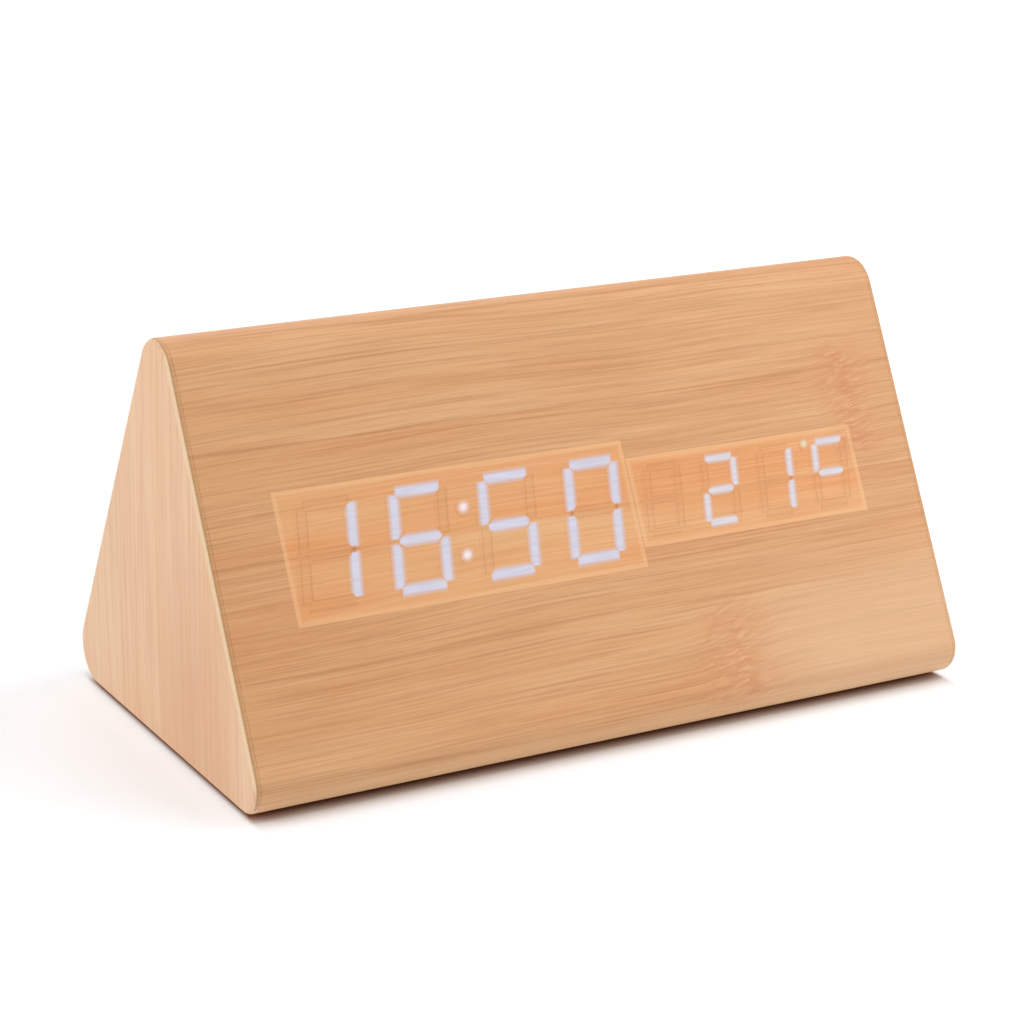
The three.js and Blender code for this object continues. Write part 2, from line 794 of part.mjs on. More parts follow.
function boardScrew(x, y, seat, length) {
  return screw(x, y, seat, 1, {
    headRadius: boardScrewHeadRadius,
    headHeight: boardScrewHeadHeight,
    shankRadius: boardScrewRadius,
    length,
    sunk: false,
  });
}

// Controls

// A button: a rounded cap through the rear face and a flange that keeps it in.
function addButton(name, x) {
  addPart(name, turned([
    [0, -buttonFlangeBack],
    [buttonRadius + buttonFlangeReach, -buttonFlangeBack],
    [buttonRadius + buttonFlangeReach, -buttonFlangeFace],
    [buttonRadius, -buttonFlangeFace],
    [buttonRadius, buttonProud - buttonEdge],
    [buttonRadius - buttonEdge, buttonProud],
    [0, buttonProud],
  ], x, buttonMiddle, roundSideCount), materials.blackPlastic, rearFace);
}

// A push switch with its well, and the plunger that moves in it.
function addSwitch(name, x) {
  const body = pad(
    x, buttonMiddle, switchSide, switchSide, -switchFace - switchHeight, -switchFace,
  );
  const wellDepth = plungerDepth + plungerTravel + slideGap;
  const well = rod(plungerRadius + slideGap, x, buttonMiddle, -switchFace - wellDepth, -plungerTip);
  addPart(`${name}_switch`, carved([body], [well]), materials.blackPlastic, rearFace);
  const plunger = rod(plungerRadius, x, buttonMiddle, -switchFace - plungerDepth, -plungerTip);
  addPart(`${name}_plunger`, plunger, materials.reflector, rearFace);
}

// The power socket: a barrel through the rear face, with a bore and a centre pin.
function addJack() {
  const bottom = -mainBoardFace + seatGap;
  const barrel = rod(jackBarrelRadius, jackAcross, jackMiddle, bottom, -jackRecess, roundSideCount);
  const housing = pad(jackAcross, jackMiddle, jackSide, jackSide, bottom, -wallDepth - seatGap);
  const boreEnd = -jackRecess - jackBoreDepth;
  const bore = rod(jackBoreRadius, jackAcross, jackMiddle, boreEnd, overrun, roundSideCount);
  const pin = rod(jackPinRadius, jackAcross, jackMiddle, bottom, -jackPinRecess);
  const socket = carved([carved([barrel, housing], [bore]), pin]);
  addPart("dc_jack", socket, materials.blackPlastic, rearFace);
}

function addMainBoard() {
  const board = pad(
    0, mainBoardMiddle, mainBoardLength, mainBoardHeight, -mainBoardBack, -mainBoardFace,
  );
  const holes = mainScrewPlaces.map(([x, y]) =>
    rod(boardScrewRadius + slideGap, x, y, -mainBoardBack - overrun, overrun - mainBoardFace));
  addPart("main_board", carved([board], holes), materials.circuit, rearFace);
  const length = mainBoardBack + seatGap - wallDepth + boardScrewBite;
  const sleeve = boardScrewRadius + slideGap;
  mainScrewPlaces.forEach(([x, y], i) => {
    const side = i === 0 ? "left" : "right";
    const seat = -mainBoardBack - seatGap;
    addPart(`board_screw_${side}`, boardScrew(x, y, seat, length), materials.steel, rearFace);
    const from = -mainBoardFace + seatGap;
    const to = -wallDepth - seatGap;
    const outside = rod(sleeve + spacerWall, x, y, from, to);
    const inside = rod(sleeve, x, y, from - overrun, to + overrun);
    addPart(`board_spacer_${side}`, carved([outside], [inside]), materials.reflector, rearFace);
  });
}

// The controller chip, with a row of bent legs along both long sides.
function addChip() {
  const [x, y] = onMainBoard(chipPlaceShares);
  const foot = -mainBoardBack - seatGap;
  const body = pad(x, y, chipLength, chipWidth, foot - chipHeight, foot - chipLegThickness);
  const pitch = chipLength / chipLegCount;
  const legs = [-1, 1].flatMap((side) => Array.from({ length: chipLegCount }, (_, i) => {
    const legX = x + (i - (chipLegCount - 1) / 2) * pitch;
    const legY = y + side * chipWidth / 2;
    const knee = pad(
      legX, legY, chipLegWidth, chipLegReach,
      foot - chipHeight / 2 - chipLegThickness, foot - chipHeight / 2,
    );
    const toe = pad(
      legX, legY + side * chipLegReach / 2, chipLegWidth, chipLegThickness, foot - chipHeight / 2, foot,
    );
    return [knee, toe];
  }));
  addPart("controller_chip", carved([body, ...legs.flat()]), materials.blackPlastic, rearFace);
}

function addBoardComponents() {
  const foot = -mainBoardBack - seatGap;
  const wallSide = -mainBoardFace + seatGap;
  const crystal = new THREE.CylinderGeometry(crystalRadius, crystalRadius, crystalLength, smallSideCount);
  const [crystalX, crystalY] = onMainBoard(crystalPlaceShares);
  crystal.rotateZ(Math.PI / 2).translate(crystalX, crystalY, foot - crystalRadius);
  addPart("clock_crystal", crystal, materials.steel, rearFace);
  addPart("filter_capacitor", turned([
    [0, foot - capacitorHeight],
    [capacitorRadius - capacitorEdge, foot - capacitorHeight],
    [capacitorRadius, foot - capacitorHeight + capacitorEdge],
    [capacitorRadius, foot],
    [0, foot],
  ], ...onMainBoard(capacitorPlaceShares)), materials.blackPlastic, rearFace);
  const [buzzerX, buzzerY] = onMainBoard(buzzerPlaceShares);
  const buzzerTop = foot - buzzerHeight;
  const can = rod(buzzerRadius, buzzerX, buzzerY, buzzerTop, foot, roundSideCount);
  const soundHole = rod(
    buzzerHoleRadius, buzzerX, buzzerY, buzzerTop - overrun, buzzerTop + buzzerHoleDepth,
  );
  addPart("buzzer", carved([can], [soundHole]), materials.blackPlastic, rearFace);
  const [microphoneX, microphoneY] = onMainBoard(microphonePlaceShares);
  const capsuleTop = wallSide + microphoneHeight;
  const capsule = rod(microphoneRadius, microphoneX, microphoneY, wallSide, capsuleTop, roundSideCount);
  const inlet = rod(
    microphoneHoleRadius, microphoneX, microphoneY,
    capsuleTop - microphoneHeight / 2, capsuleTop + overrun,
  );
  addPart("microphone", carved([capsule], [inlet]), materials.steel, rearFace);
}

// The thermistor: a bead on two thin legs that stand on the main board.
function addTemperatureSensor() {
  const [x, y] = onMainBoard(sensorPlaceShares);
  const foot = -mainBoardBack - seatGap;
  const beadMiddle = foot - sensorLegLength;
  const bead = new THREE.SphereGeometry(sensorBeadRadius, smallSideCount, smallSideCount / 2);
  bead.translate(x, y, beadMiddle);
  const legs = [-1, 1].map((side) =>
    rod(sensorLegRadius, x + side * sensorLegSpread / 2, y, beadMiddle, foot, springSideCount));
  addPart("temperature_sensor", carved([bead, ...legs]), materials.blackPlastic, rearFace);
}

// Power

// A rod along X.
function lyingRod(radius, x0, x1, y, z, sides = smallSideCount) {
  const cylinder = new THREE.CylinderGeometry(radius, radius, x1 - x0, sides);
  return cylinder.rotateZ(Math.PI / 2).translate((x0 + x1) / 2, y, z);
}

// The battery box: a tray moulded round the four cells, with a flange on the base panel and
// a rim that holds the door.
function addBatteryBox() {
  const wallRadius = troughRadius + boxWall;
  const outerHumps = cellPlaces.map((y) =>
    lyingRod(wallRadius, -boxOuterHalf, boxOuterHalf, y, cellAxis, roundSideCount));
  const skirt = pad(0, 0, 2 * boxOuterHalf, 2 * (bayHalfWidth + boxWall), skin, cellAxis);
  const rim = pad(0, 0, 2 * rimHalfLength, 2 * rimHalfWidth, skin, basePanelTop);
  const flange = pad(
    0, 0, 2 * (rimHalfLength + boxFlangeReach), 2 * bayHalfWidth,
    basePanelTop, basePanelTop + boxFlangeThickness,
  );
  const troughs = cellPlaces.map((y) =>
    lyingRod(troughRadius, -boxInnerHalf, boxInnerHalf, y, cellAxis, roundSideCount));
  const bay = pad(0, 0, 2 * boxInnerHalf, 2 * bayHalfWidth, -overrun, cellAxis);
  const doorBed = pad(
    0, 0, 2 * (doorHalfLength + seatGap), 2 * (doorHalfWidth + seatGap), -overrun, doorTop + glueLine,
  );
  const tabSweep = Math.hypot(doorTabReach, doorThickness);
  const tabPockets = [-1, 1].map((side) => {
    const x = side * doorTabPlaceShare * doorHalfLength;
    const half = doorTabWidth / 2 + seatGap;
    const lip = doorTop - doorTabThickness - glueLine;
    return block(
      x - half, x + half, bayHalfWidth - overrun, doorHalfWidth + doorTabReach + seatGap,
      lip, skin + tabSweep + seatGap,
    );
  });
  const scoop = rod(
    scoopRadius, 0, -doorHalfWidth - scoopRadius / 2, -overrun, skin + scoopDepth, roundSideCount,
  );
  const tabSlots = [cellPlaces[0], cellPlaces[cellCount - 1]].map((y) => block(
    -boxInnerHalf, -boxInnerHalf + contactThickness + seatGap,
    y - contactTabWidth / 2 - seatGap, y + contactTabWidth / 2 + seatGap,
    cellAxis, cellAxis + wallRadius + overrun,
  ));
  addPart("battery_box", carved(
    [...outerHumps, skirt, rim, flange],
    [...troughs, bay, doorBed, ...tabPockets, scoop, ...tabSlots],
  ), materials.blackPlastic);
}

// The battery door: two tabs at its rear edge and a springy latch tongue at its front edge.
function addBatteryDoor() {
  const panel = pad(0, 0, 2 * doorHalfLength, 2 * doorHalfWidth, skin, doorTop);
  const tabs = [-1, 1].map((side) => pad(
    side * doorTabPlaceShare * doorHalfLength, doorHalfWidth, doorTabWidth, 2 * doorTabReach,
    doorTop - doorTabThickness, doorTop,
  ));
  const nib = pad(
    0, -doorHalfWidth, latchWidth - 2 * latchSlot, 2 * latchNib, doorTop - doorTabThickness, doorTop,
  );
  const slots = [-1, 1].map((side) => block(
    side * latchWidth / 2 - latchSlot / 2, side * latchWidth / 2 + latchSlot / 2,
    -doorHalfWidth - overrun, latchLength - doorHalfWidth, -overrun, doorTop + overrun,
  ));
  const grips = Array.from({ length: latchRibCount }, (_, i) => {
    const y = -doorHalfWidth + (i + 1) * latchLength / (latchRibCount + 1);
    return pad(0, y, latchWidth - 2 * latchSlot, latchRib, -overrun, skin + latchRib);
  });
  const door = carved([panel, ...tabs, nib], [...slots, ...grips]);
  addPart("battery_door", door, materials.blackPlastic);
}

// A cell along X with its positive nub at the end that side gives.
function addCell(index, y, side) {
  const shoulder = cellLength - cellNubHeight;
  const cell = turned([
    [0, 0],
    [cellRadius - cellEdge, 0],
    [cellRadius, cellEdge],
    [cellRadius, shoulder - cellEdge],
    [cellRadius - cellEdge, shoulder],
    [cellNubRadius, shoulder],
    [cellNubRadius, cellLength],
    [0, cellLength],
  ], 0, 0, roundSideCount);
  const negativeEnd = -side * (boxInnerHalf - contactThickness - seatGap - springLength);
  cell.rotateY(side * Math.PI / 2).translate(negativeEnd, y, cellAxis);
  addPart(`battery_cell_${index}`, cell, materials.cell);
}

// A tapering spring along +X from its base, as one unbroken wire.
class TaperedCoil extends THREE.Curve {
  getPoint(t, target = new THREE.Vector3()) {
    const angle = t * springCurlCount * 2 * Math.PI;
    const radius = THREE.MathUtils.lerp(springBaseRadius, springTipRadius, t);
    return target.set(t * (springLength - springWire), radius * Math.cos(angle), radius * Math.sin(angle));
  }
}

function springGeometry() {
  const section = new THREE.Shape(Array.from({ length: springSideCount }, (_, i) => {
    const angle = i * 2 * Math.PI / springSideCount;
    return new THREE.Vector2(springWire * Math.cos(angle), springWire * Math.sin(angle));
  }));
  const settings = {
    steps: springCurlCount * curlStepCount,
    extrudePath: new TaperedCoil(),
    bevelEnabled: false,
  };
  return new THREE.ExtrudeGeometry(section, settings);
}

// The least gap between turns of a spring, measured between points a whole curl apart.
function springGap() {
  const coil = new TaperedCoil();
  const samples = springCurlCount * curlStepCount;
  const points = Array.from({ length: samples + 1 }, (_, i) => coil.getPoint(i / samples));
  const gaps = points.slice(0, -curlStepCount).flatMap((point, i) =>
    points.slice(i + curlStepCount / 2).map((other) => point.distanceTo(other) - 2 * springWire));
  return Math.min(...gaps);
}

// Contact plates at one end of the bay, facing inwards along side, joined in the ways given.
// Each place is a cell's Y; a spring stands on the plate where the cell's flat end meets it.
function addContact(name, end, places, springPlaces, tabbed) {
  const wall = end * boxInnerHalf;
  const face = end * (boxInnerHalf - contactThickness);
  const [x0, x1] = [Math.min(wall, face), Math.max(wall, face)];
  const low = Math.min(...places) - contactSide / 2;
  const high = Math.max(...places) + contactSide / 2;
  const z0 = cellAxis - contactSide / 2;
  const sheet = block(x0, x1, low, high, z0, cellAxis + (places.length > 1 ? 0 : contactSide / 2));
  const ears = places.length > 1
    ? places.map((y) => block(
      x0, x1, y - contactSide / 2, y + contactSide / 2, z0, cellAxis + contactSide / 2,
    ))
    : [];
  const springs = springPlaces.map((y) => {
    const spring = springGeometry();
    if (end > 0) {
      spring.rotateZ(Math.PI);
    }
    return spring.translate(face, y, cellAxis);
  });
  const tab = tabbed
    ? [pad(
      (x0 + x1) / 2, places[0], contactThickness, contactTabWidth,
      cellAxis, cellAxis + troughRadius + boxWall + contactTabRise,
    )]
    : [];
  addPart(name, carved([sheet, ...ears, ...springs, ...tab]), materials.steel);
}

// The cells lie head to tail, so the contacts join them in a row from one lead to the other.
function addBatteries() {
  cellPlaces.forEach((y, i) => addCell(i + 1, y, i % 2 === 0 ? 1 : -1));
  const [first, second, third, fourth] = cellPlaces;
  addContact("negative_contact", -1, [first], [first], true);
  addContact("bridge_contact_1", 1, [first, second], [second], false);
  addContact("bridge_contact_2", -1, [second, third], [third], false);
  addContact("bridge_contact_3", 1, [third, fourth], [fourth], false);
  addContact("positive_contact", -1, [fourth], [], true);
}

// Cables

const upright = new THREE.Vector3(0, 0, 1);

// A point on the inside of the main board, in the body's frame.
function mainBoardPoint([along, up], gap) {
  const [x, y] = onMainBoard([along, up]);
  return new THREE.Vector3(x, y, -mainBoardBack - gap).applyMatrix4(rearFace.matrix);
}

const rearInwards = new THREE.Vector3(0, 0, -1).transformDirection(rearFace.matrix);
const frontInwards = new THREE.Vector3(0, 0, -1).transformDirection(frontFace.matrix);

// A battery lead from the top of a contact's tab to the main board.
function addLead(name, y, placeShare, material) {
  const tabTop = cellAxis + troughRadius + boxWall + contactTabRise;
  const start = new THREE.Vector3(-boxInnerHalf + contactThickness / 2, y, tabTop + seatGap);
  const end = mainBoardPoint([placeShare, leadHeightShare], seatGap);
  const path = new THREE.CubicBezierCurve3(
    start,
    start.clone().addScaledVector(upright, leadLift),
    end.clone().addScaledVector(rearInwards, leadLift),
    end,
  );
  const section = new THREE.Shape(Array.from({ length: leadSideCount }, (_, i) => {
    const angle = i * 2 * Math.PI / leadSideCount;
    return new THREE.Vector2(leadRadius * Math.cos(angle), leadRadius * Math.sin(angle));
  }));
  const settings = { steps: leadStepCount, extrudePath: path, bevelEnabled: false };
  addPart(name, new THREE.ExtrudeGeometry(section, settings), material);
}

// The flat cable between the boards hangs in a loop, drawn here as a band seen from the end.
function addRibbon() {
  const start = mainBoardPoint([ribbonPlaceShare, 0], seatGap);
  const end = new THREE.Vector3(0, displayMiddle, -displayBoardBack - seatGap);
  end.applyMatrix4(frontFace.matrix);
  const flat = (point) => new THREE.Vector2(point.y, point.z);
  const path = new THREE.CubicBezierCurve(
    flat(start),
    flat(start.clone().addScaledVector(rearInwards, ribbonReach)),
    flat(end.clone().addScaledVector(frontInwards, ribbonReach)),
    flat(end),
  );
  const side = (offset) => Array.from({ length: ribbonStepCount + 1 }, (_, i) => {
    const tangent = path.getTangent(i / ribbonStepCount);
    const point = path.getPoint(i / ribbonStepCount);
    return point.add(new THREE.Vector2(-tangent.y, tangent.x).multiplyScalar(offset));
  });
  const ring = [...side(ribbonThickness / 2), ...side(-ribbonThickness / 2).reverse()];
  const band = plate(ring, [], start.x - ribbonWidth / 2, start.x + ribbonWidth / 2);
  addPart("ribbon_cable", band.applyMatrix4(lengthwise), materials.whiteWire);
}

addShell();
addVeneer();
addEndPanel("left_end_panel", -1);
addEndPanel("right_end_panel", 1);
addBasePanel();
addWindow("time_window", timeDisplay);
addWindow("temperature_window", temperatureDisplay);
addLightGuide("time_light_guide", timeDisplay);
addLightGuide("temperature_light_guide", temperatureDisplay);
addReflector("time_reflector", timeDisplay, flangeEnds.left, blocksMeet - seatGap / 2);
addReflector("temperature_reflector", temperatureDisplay, blocksMeet + seatGap / 2, flangeEnds.right);
addDisplayBoard();
buttonNames.forEach((name, i) => {
  addButton(`${name}_button`, buttonPlaces[i]);
  addSwitch(name, buttonPlaces[i]);
});
addJack();
addMainBoard();
addChip();
addBoardComponents();
addTemperatureSensor();
addBatteryBox();
addBatteryDoor();
addBatteries();
addLead("battery_lead_positive", cellPlaces[cellCount - 1], leadPlaceShares[0], materials.redWire);
addLead("battery_lead_negative", cellPlaces[0], leadPlaceShares[1], materials.blackWire);
addRibbon();

console.log(`least gap between the turns of a battery spring: ${springGap().toFixed(2)} mm`);

export default clock;
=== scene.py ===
# %% [markdown]
# A wooden digital clock
#
# The clock is a triangular prism of bamboo-veneered board. Its digits shine through two windows
# of thinned veneer in the front face. The solid model gives every piece its true size and place,
# so this script only dresses it: it makes fine versions of the pieces whose curves show, and
# gives every surface a finish built from shader nodes. All lengths are in metres.

# %% Load the solid model
import math
from functools import partial
import bmesh
import bpy
from mathutils import Matrix, Vector


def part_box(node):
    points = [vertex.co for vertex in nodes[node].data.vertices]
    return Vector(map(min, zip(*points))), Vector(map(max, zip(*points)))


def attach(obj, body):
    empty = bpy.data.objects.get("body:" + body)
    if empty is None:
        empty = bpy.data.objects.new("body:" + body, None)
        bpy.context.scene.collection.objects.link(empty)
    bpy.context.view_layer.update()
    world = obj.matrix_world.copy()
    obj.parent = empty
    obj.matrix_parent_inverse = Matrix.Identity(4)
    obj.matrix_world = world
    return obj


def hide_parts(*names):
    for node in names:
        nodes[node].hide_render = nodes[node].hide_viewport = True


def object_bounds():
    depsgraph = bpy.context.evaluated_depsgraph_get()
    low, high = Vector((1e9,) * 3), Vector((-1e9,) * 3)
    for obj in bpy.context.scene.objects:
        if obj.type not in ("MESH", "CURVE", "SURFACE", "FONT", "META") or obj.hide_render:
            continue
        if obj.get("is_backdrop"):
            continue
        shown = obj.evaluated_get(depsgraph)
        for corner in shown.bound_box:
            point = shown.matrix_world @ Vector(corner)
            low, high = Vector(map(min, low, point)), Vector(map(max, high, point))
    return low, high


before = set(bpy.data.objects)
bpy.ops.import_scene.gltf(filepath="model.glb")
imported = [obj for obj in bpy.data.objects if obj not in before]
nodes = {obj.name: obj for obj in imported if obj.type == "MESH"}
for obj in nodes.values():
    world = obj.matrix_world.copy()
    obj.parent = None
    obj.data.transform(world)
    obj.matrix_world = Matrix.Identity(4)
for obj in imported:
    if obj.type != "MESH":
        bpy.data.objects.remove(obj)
cad_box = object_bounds()
print("nodes", len(nodes))

# %% [markdown]
# The clock's cross-section is a triangle with two equal sides and rounded corners. A few driving
# sizes give the frames of its front and rear faces: X across the face, Y up its slope and Z out
# of it. Everything on a face is placed in that frame, so it lies on the slope by itself.

# %% Driving sizes and face frames
MM = 0.001
SECTION_WIDTH = 87.7 * MM
SECTION_HEIGHT = 83.6 * MM
FRONT_RADIUS = 5.5 * MM
REAR_RADIUS = 7 * MM
APEX_RADIUS = 7 * MM
VENEER = 0.5 * MM
GLUE_LINE = 0.1 * MM
FOOT_PROUD = 1 * MM
END_THICKNESS = 6 * MM
END_LIP = 1.2 * MM
END_BEVEL = 1 * MM
JOINT_GAP = 0.05 * MM
SEAT_GAP = 0.3 * MM
FACE_ANGLE = math.atan2(SECTION_HEIGHT, SECTION_WIDTH / 2)
HALF_APEX = math.pi / 2 - FACE_ANGLE
HALF_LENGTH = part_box("right_end_panel")[1].x
FOUR = (1, 2, 3, 4)


def at(x, y, z):
    return Matrix.Translation((x, y, z))


def turned(degrees, axis):
    return Matrix.Rotation(math.radians(degrees), 4, axis)


def face_frame(side):
    """The frame of the front face (side -1) or the rear face (side 1)."""
    place = at(0, side * SECTION_WIDTH / 2, FOOT_PROUD) @ turned(180 if side > 0 else 0, "Z")
    return place @ Matrix.Rotation(FACE_ANGLE, 4, "X")


FRONT = face_frame(-1)
REAR = face_frame(1)
FRONT_OUT, REAR_OUT = (face.to_3x3() @ Vector((0, 0, 1)) for face in (FRONT, REAR))
print("face angle", round(math.degrees(FACE_ANGLE), 2), "half length", round(HALF_LENGTH, 4))

# %% [markdown]
# The camera stands where the photographer's did: in front of the clock, to its left and a little
# above it, with a long lens. The angles were found by fitting a prism of the clock's proportions
# to its edges in the picture. The picture's middle lies beside the clock's middle, so the camera
# is slid sideways and down instead of shifting its lens.

# %% Camera
PICTURE = 1024
SENSOR = 36
AZIMUTH = -30.08
ELEVATION = 18.21
ROLL = math.radians(1.11)
DISTANCE = 527.93 * MM
FOCAL_PIXELS = 2782.93
SLIDE_RIGHT = 2.34 * MM
SLIDE_UP = 8.35 * MM


def direction(azimuth, elevation):
    """The way to a place seen from the clock, its angles in degrees: 0, 0 is straight ahead."""
    turn, lift = math.radians(azimuth), math.radians(elevation)
    return Vector((
        math.sin(turn) * math.cos(lift), -math.cos(turn) * math.cos(lift), math.sin(lift),
    ))


def add_object(name, data):
    thing = bpy.data.objects.new(name, data)
    bpy.context.collection.objects.link(thing)
    return thing


back = direction(AZIMUTH, ELEVATION)
level_right = Vector((0, 0, 1)).cross(back).normalized()
level_up = back.cross(level_right)
right = level_right * math.cos(ROLL) + level_up * math.sin(ROLL)
up = level_up * math.cos(ROLL) - level_right * math.sin(ROLL)
target = Vector((0, 0, SECTION_HEIGHT / 2 + FOOT_PROUD))
spot = target + back * DISTANCE - right * SLIDE_RIGHT - up * SLIDE_UP

camera = add_object("camera", bpy.data.cameras.new("camera"))
camera.data.sensor_width = SENSOR
camera.data.lens = SENSOR * FOCAL_PIXELS / PICTURE
camera.matrix_world = at(*spot) @ Matrix((right, up, back)).transposed().to_4x4()
bpy.context.scene.camera = camera
print("lens", round(camera.data.lens, 2), "camera at", [round(value, 3) for value in spot])

# %% [markdown]
# Finishes are built from nodes. A few small helpers keep that readable. One adds a node and fills
# or links its sockets, and another finds the tree from the sockets that it links, so that sums,
# mixes and noises read like plain arithmetic.

# %% Node helpers
MIX_FACTOR, MIX_A, MIX_B, MIX_RESULT = 0, 6, 7, 2


def is_socket(value):
    return isinstance(value, bpy.types.NodeSocket)


def fill(socket, value):
    """Links a socket to another one, or sets its value."""
    if is_socket(value):
        socket.id_data.links.new(value, socket)
    else:
        socket.default_value = value


def add_node(tree, kind, sockets=None, **settings):
    """Adds a node, sets its settings, and fills each named or numbered socket."""
    node = tree.nodes.new(kind)
    for name, value in settings.items():
        setattr(node, name, value)
    for name, value in (sockets or {}).items():
        fill(node.inputs[name], value)
    return node


def derive(kind, sockets, **settings):
    """Adds a node to the tree of the sockets that feed it. Returns its outputs."""
    tree = next(value.id_data for value in sockets.values() if is_socket(value))
    return add_node(tree, kind, sockets, **settings).outputs


def maths(operation, *values, clamp=False):
    sockets = dict(enumerate(values))
    return derive("ShaderNodeMath", sockets, operation=operation, use_clamp=clamp)[0]


plus, minus, times, times_plus, over, larger, smaller, size_of, floor, fraction, above = (
    partial(maths, operation) for operation in (
        "ADD", "SUBTRACT", "MULTIPLY", "MULTIPLY_ADD", "DIVIDE", "MAXIMUM", "MINIMUM", "ABSOLUTE",
        "FLOOR", "FRACT", "GREATER_THAN",
    )
)


def split(vector):
    """The X, Y and Z of a vector."""
    return derive("ShaderNodeSeparateXYZ", {0: vector})


def join(*values):
    """A vector from its X, Y and Z, or its first few."""
    return derive("ShaderNodeCombineXYZ", dict(enumerate(values)))[0]


def scaled(vector, factors):
    return derive("ShaderNodeVectorMath", {0: vector, 1: factors}, operation="MULTIPLY")[0]


def length_of(vector):
    return derive("ShaderNodeVectorMath", {0: vector}, operation="LENGTH")["Value"]


def mix_colours(factor, a, b):
    """From colour a to colour b. A mix node also has sockets for numbers and vectors."""
    sockets = {MIX_FACTOR: factor, MIX_A: a, MIX_B: b}
    return derive("ShaderNodeMix", sockets, data_type="RGBA")[MIX_RESULT]


def noise(vector, scale=1.0, detail=2.0, roughness=0.5):
    return derive("ShaderNodeTexNoise", {
        "Vector": vector, "Scale": scale, "Detail": detail, "Roughness": roughness,
    })["Fac"]


def spread(value, low, high, least=0.0, most=1.0):
    """Stretches low..high to least..most."""
    return derive("ShaderNodeMapRange", {
        "Value": value, "From Min": low, "From Max": high, "To Min": least, "To Max": most,
    }, clamp=True)["Result"]


def object_position(tree):
    return add_node(tree, "ShaderNodeTexCoord").outputs["Object"]


def srgb(red, green, blue):
    """A colour given as 0-255 screen values, as the linear values that shaders use."""
    def linear(value):
        share = value / 255
        return share / 12.92 if share <= 0.04045 else ((share + 0.055) / 1.055) ** 2.4
    return (linear(red), linear(green), linear(blue), 1.0)


def new_finish(name, roughness, specular=0.5):
    """A material with a Principled shader. Returns the material, its node tree and the shader."""
    material = bpy.data.materials.new(name)
    material.use_nodes = True
    shader = material.node_tree.nodes["Principled BSDF"]
    fill(shader.inputs["Roughness"], roughness)
    fill(shader.inputs["Specular IOR Level"], specular)
    return material, material.node_tree, shader


def coat(shader, colour, height, strength, distance):
    """Feeds a colour and a bumpy height to a shader."""
    fill(shader.inputs["Base Color"], colour)
    bump = derive("ShaderNodeBump", {"Height": height, "Strength": strength, "Distance": distance})
    fill(shader.inputs["Normal"], bump["Normal"])


print("helpers ready")

# %% [markdown]
# The picture is a packshot on pure white. Soft lamps from the right, the left and above light the
# clock evenly, two low lamps in front reach its lower edge, and a weak world fills the rest. The
# world and the far floor are plain white for the camera and in reflections. Near the clock the
# floor is a white board lit by the lamps. A little white is added to it for the camera, so that it
# reaches white in the open and keeps the clock's shadow. A little more beside the ends is painted
# light that lifts the shadow there. None is added under the clock, where the board is painted a
# dark warm brown as painted shade for the narrow gap that its feet leave.

# %% Stage and light
scene = bpy.context.scene
scene.view_settings.view_transform = "Standard"
FLOOR_REACH = 6.0
WORLD_STRENGTH = 0.3
FLOOR_WHITE = srgb(240, 243, 247)
# The board under the clock is painted this dark warm brown: painted shade for the gap under it.
FLOOR_PAINTED_SHADE = srgb(166, 102, 56)
FLOOR_BOOST = 0.22
FLOOR_NEAR = 0.22
FLOOR_FAR = 0.75
OPEN_PAST_END = (-1.2 * MM, -0.5 * MM)
OPEN_PAST_SIDE = (-2 * MM, 3 * MM)
WHITE_PAST_END = (-1.6 * MM, 0)
WHITE_PAST_SIDE = (-5 * MM, -1 * MM)
# Extra white beside the ends is painted light that lifts the shadow on the floor there.
END_PAINTED_LIGHT = 0.08
END_PAINTED_LIGHT_REACH = 6 * MM
LAMPS = {
    "key": (62, 45, 0.65, 0.5, 1.6, (1, 0.99, 0.97)),
    "top": (0, 86, 1.1, 0.8, 2.2, (1, 1, 1)),
    "fill": (-92, 32, 1.1, 0.8, 4.6, (1, 0.98, 0.96)),
    "front": (24, 5, 0.8, 0.7, 0.75, (1, 0.99, 0.98)),
    "low": (46, 2, 0.45, 0.3, 0.3, (1, 0.99, 0.97)),
    "rear": (172, 46, 1.1, 0.9, 2.4, (1, 1, 1)),
}


def straight_to_eye(tree):
    """1 for rays that reach the camera directly, or by a reflection or a clear piece."""
    rays = add_node(tree, "ShaderNodeLightPath").outputs
    seen = larger(rays["Is Camera Ray"], rays["Is Glossy Ray"])
    return larger(seen, rays["Is Transmission Ray"])


def make_floor_finish():
    material, tree, shader = new_finish("white board", 0.9, 0.0)
    x, y, _ = split(object_position(tree))
    past_end, past_side = minus(size_of(x), HALF_LENGTH), minus(size_of(y), cad_box[1].y)
    off_side = spread(past_side, *OPEN_PAST_SIDE)
    in_open = larger(spread(past_end, *OPEN_PAST_END), off_side)
    # Under the clock the board is painted dark warm brown: painted shade.
    white = larger(spread(past_end, *WHITE_PAST_END), spread(past_side, *WHITE_PAST_SIDE))
    fill(shader.inputs["Base Color"], mix_colours(white, FLOOR_PAINTED_SHADE, FLOOR_WHITE))
    boost = spread(length_of(join(x, y)), FLOOR_NEAR, FLOOR_FAR, FLOOR_BOOST, 1.0)
    # Painted light: extra white on the floor beside the ends lifts the shadow there.
    edge = times(spread(size_of(past_end), 0.0, END_PAINTED_LIGHT_REACH, END_PAINTED_LIGHT, 0.0), minus(1.0, off_side))
    added = times(plus(boost, edge), in_open)
    glow = derive("ShaderNodeEmission", {"Strength": times(added, straight_to_eye(tree))})
    both = derive("ShaderNodeAddShader", {0: shader.outputs[0], 1: glow[0]})
    fill(tree.nodes["Material Output"].inputs["Surface"], both[0])
    return material


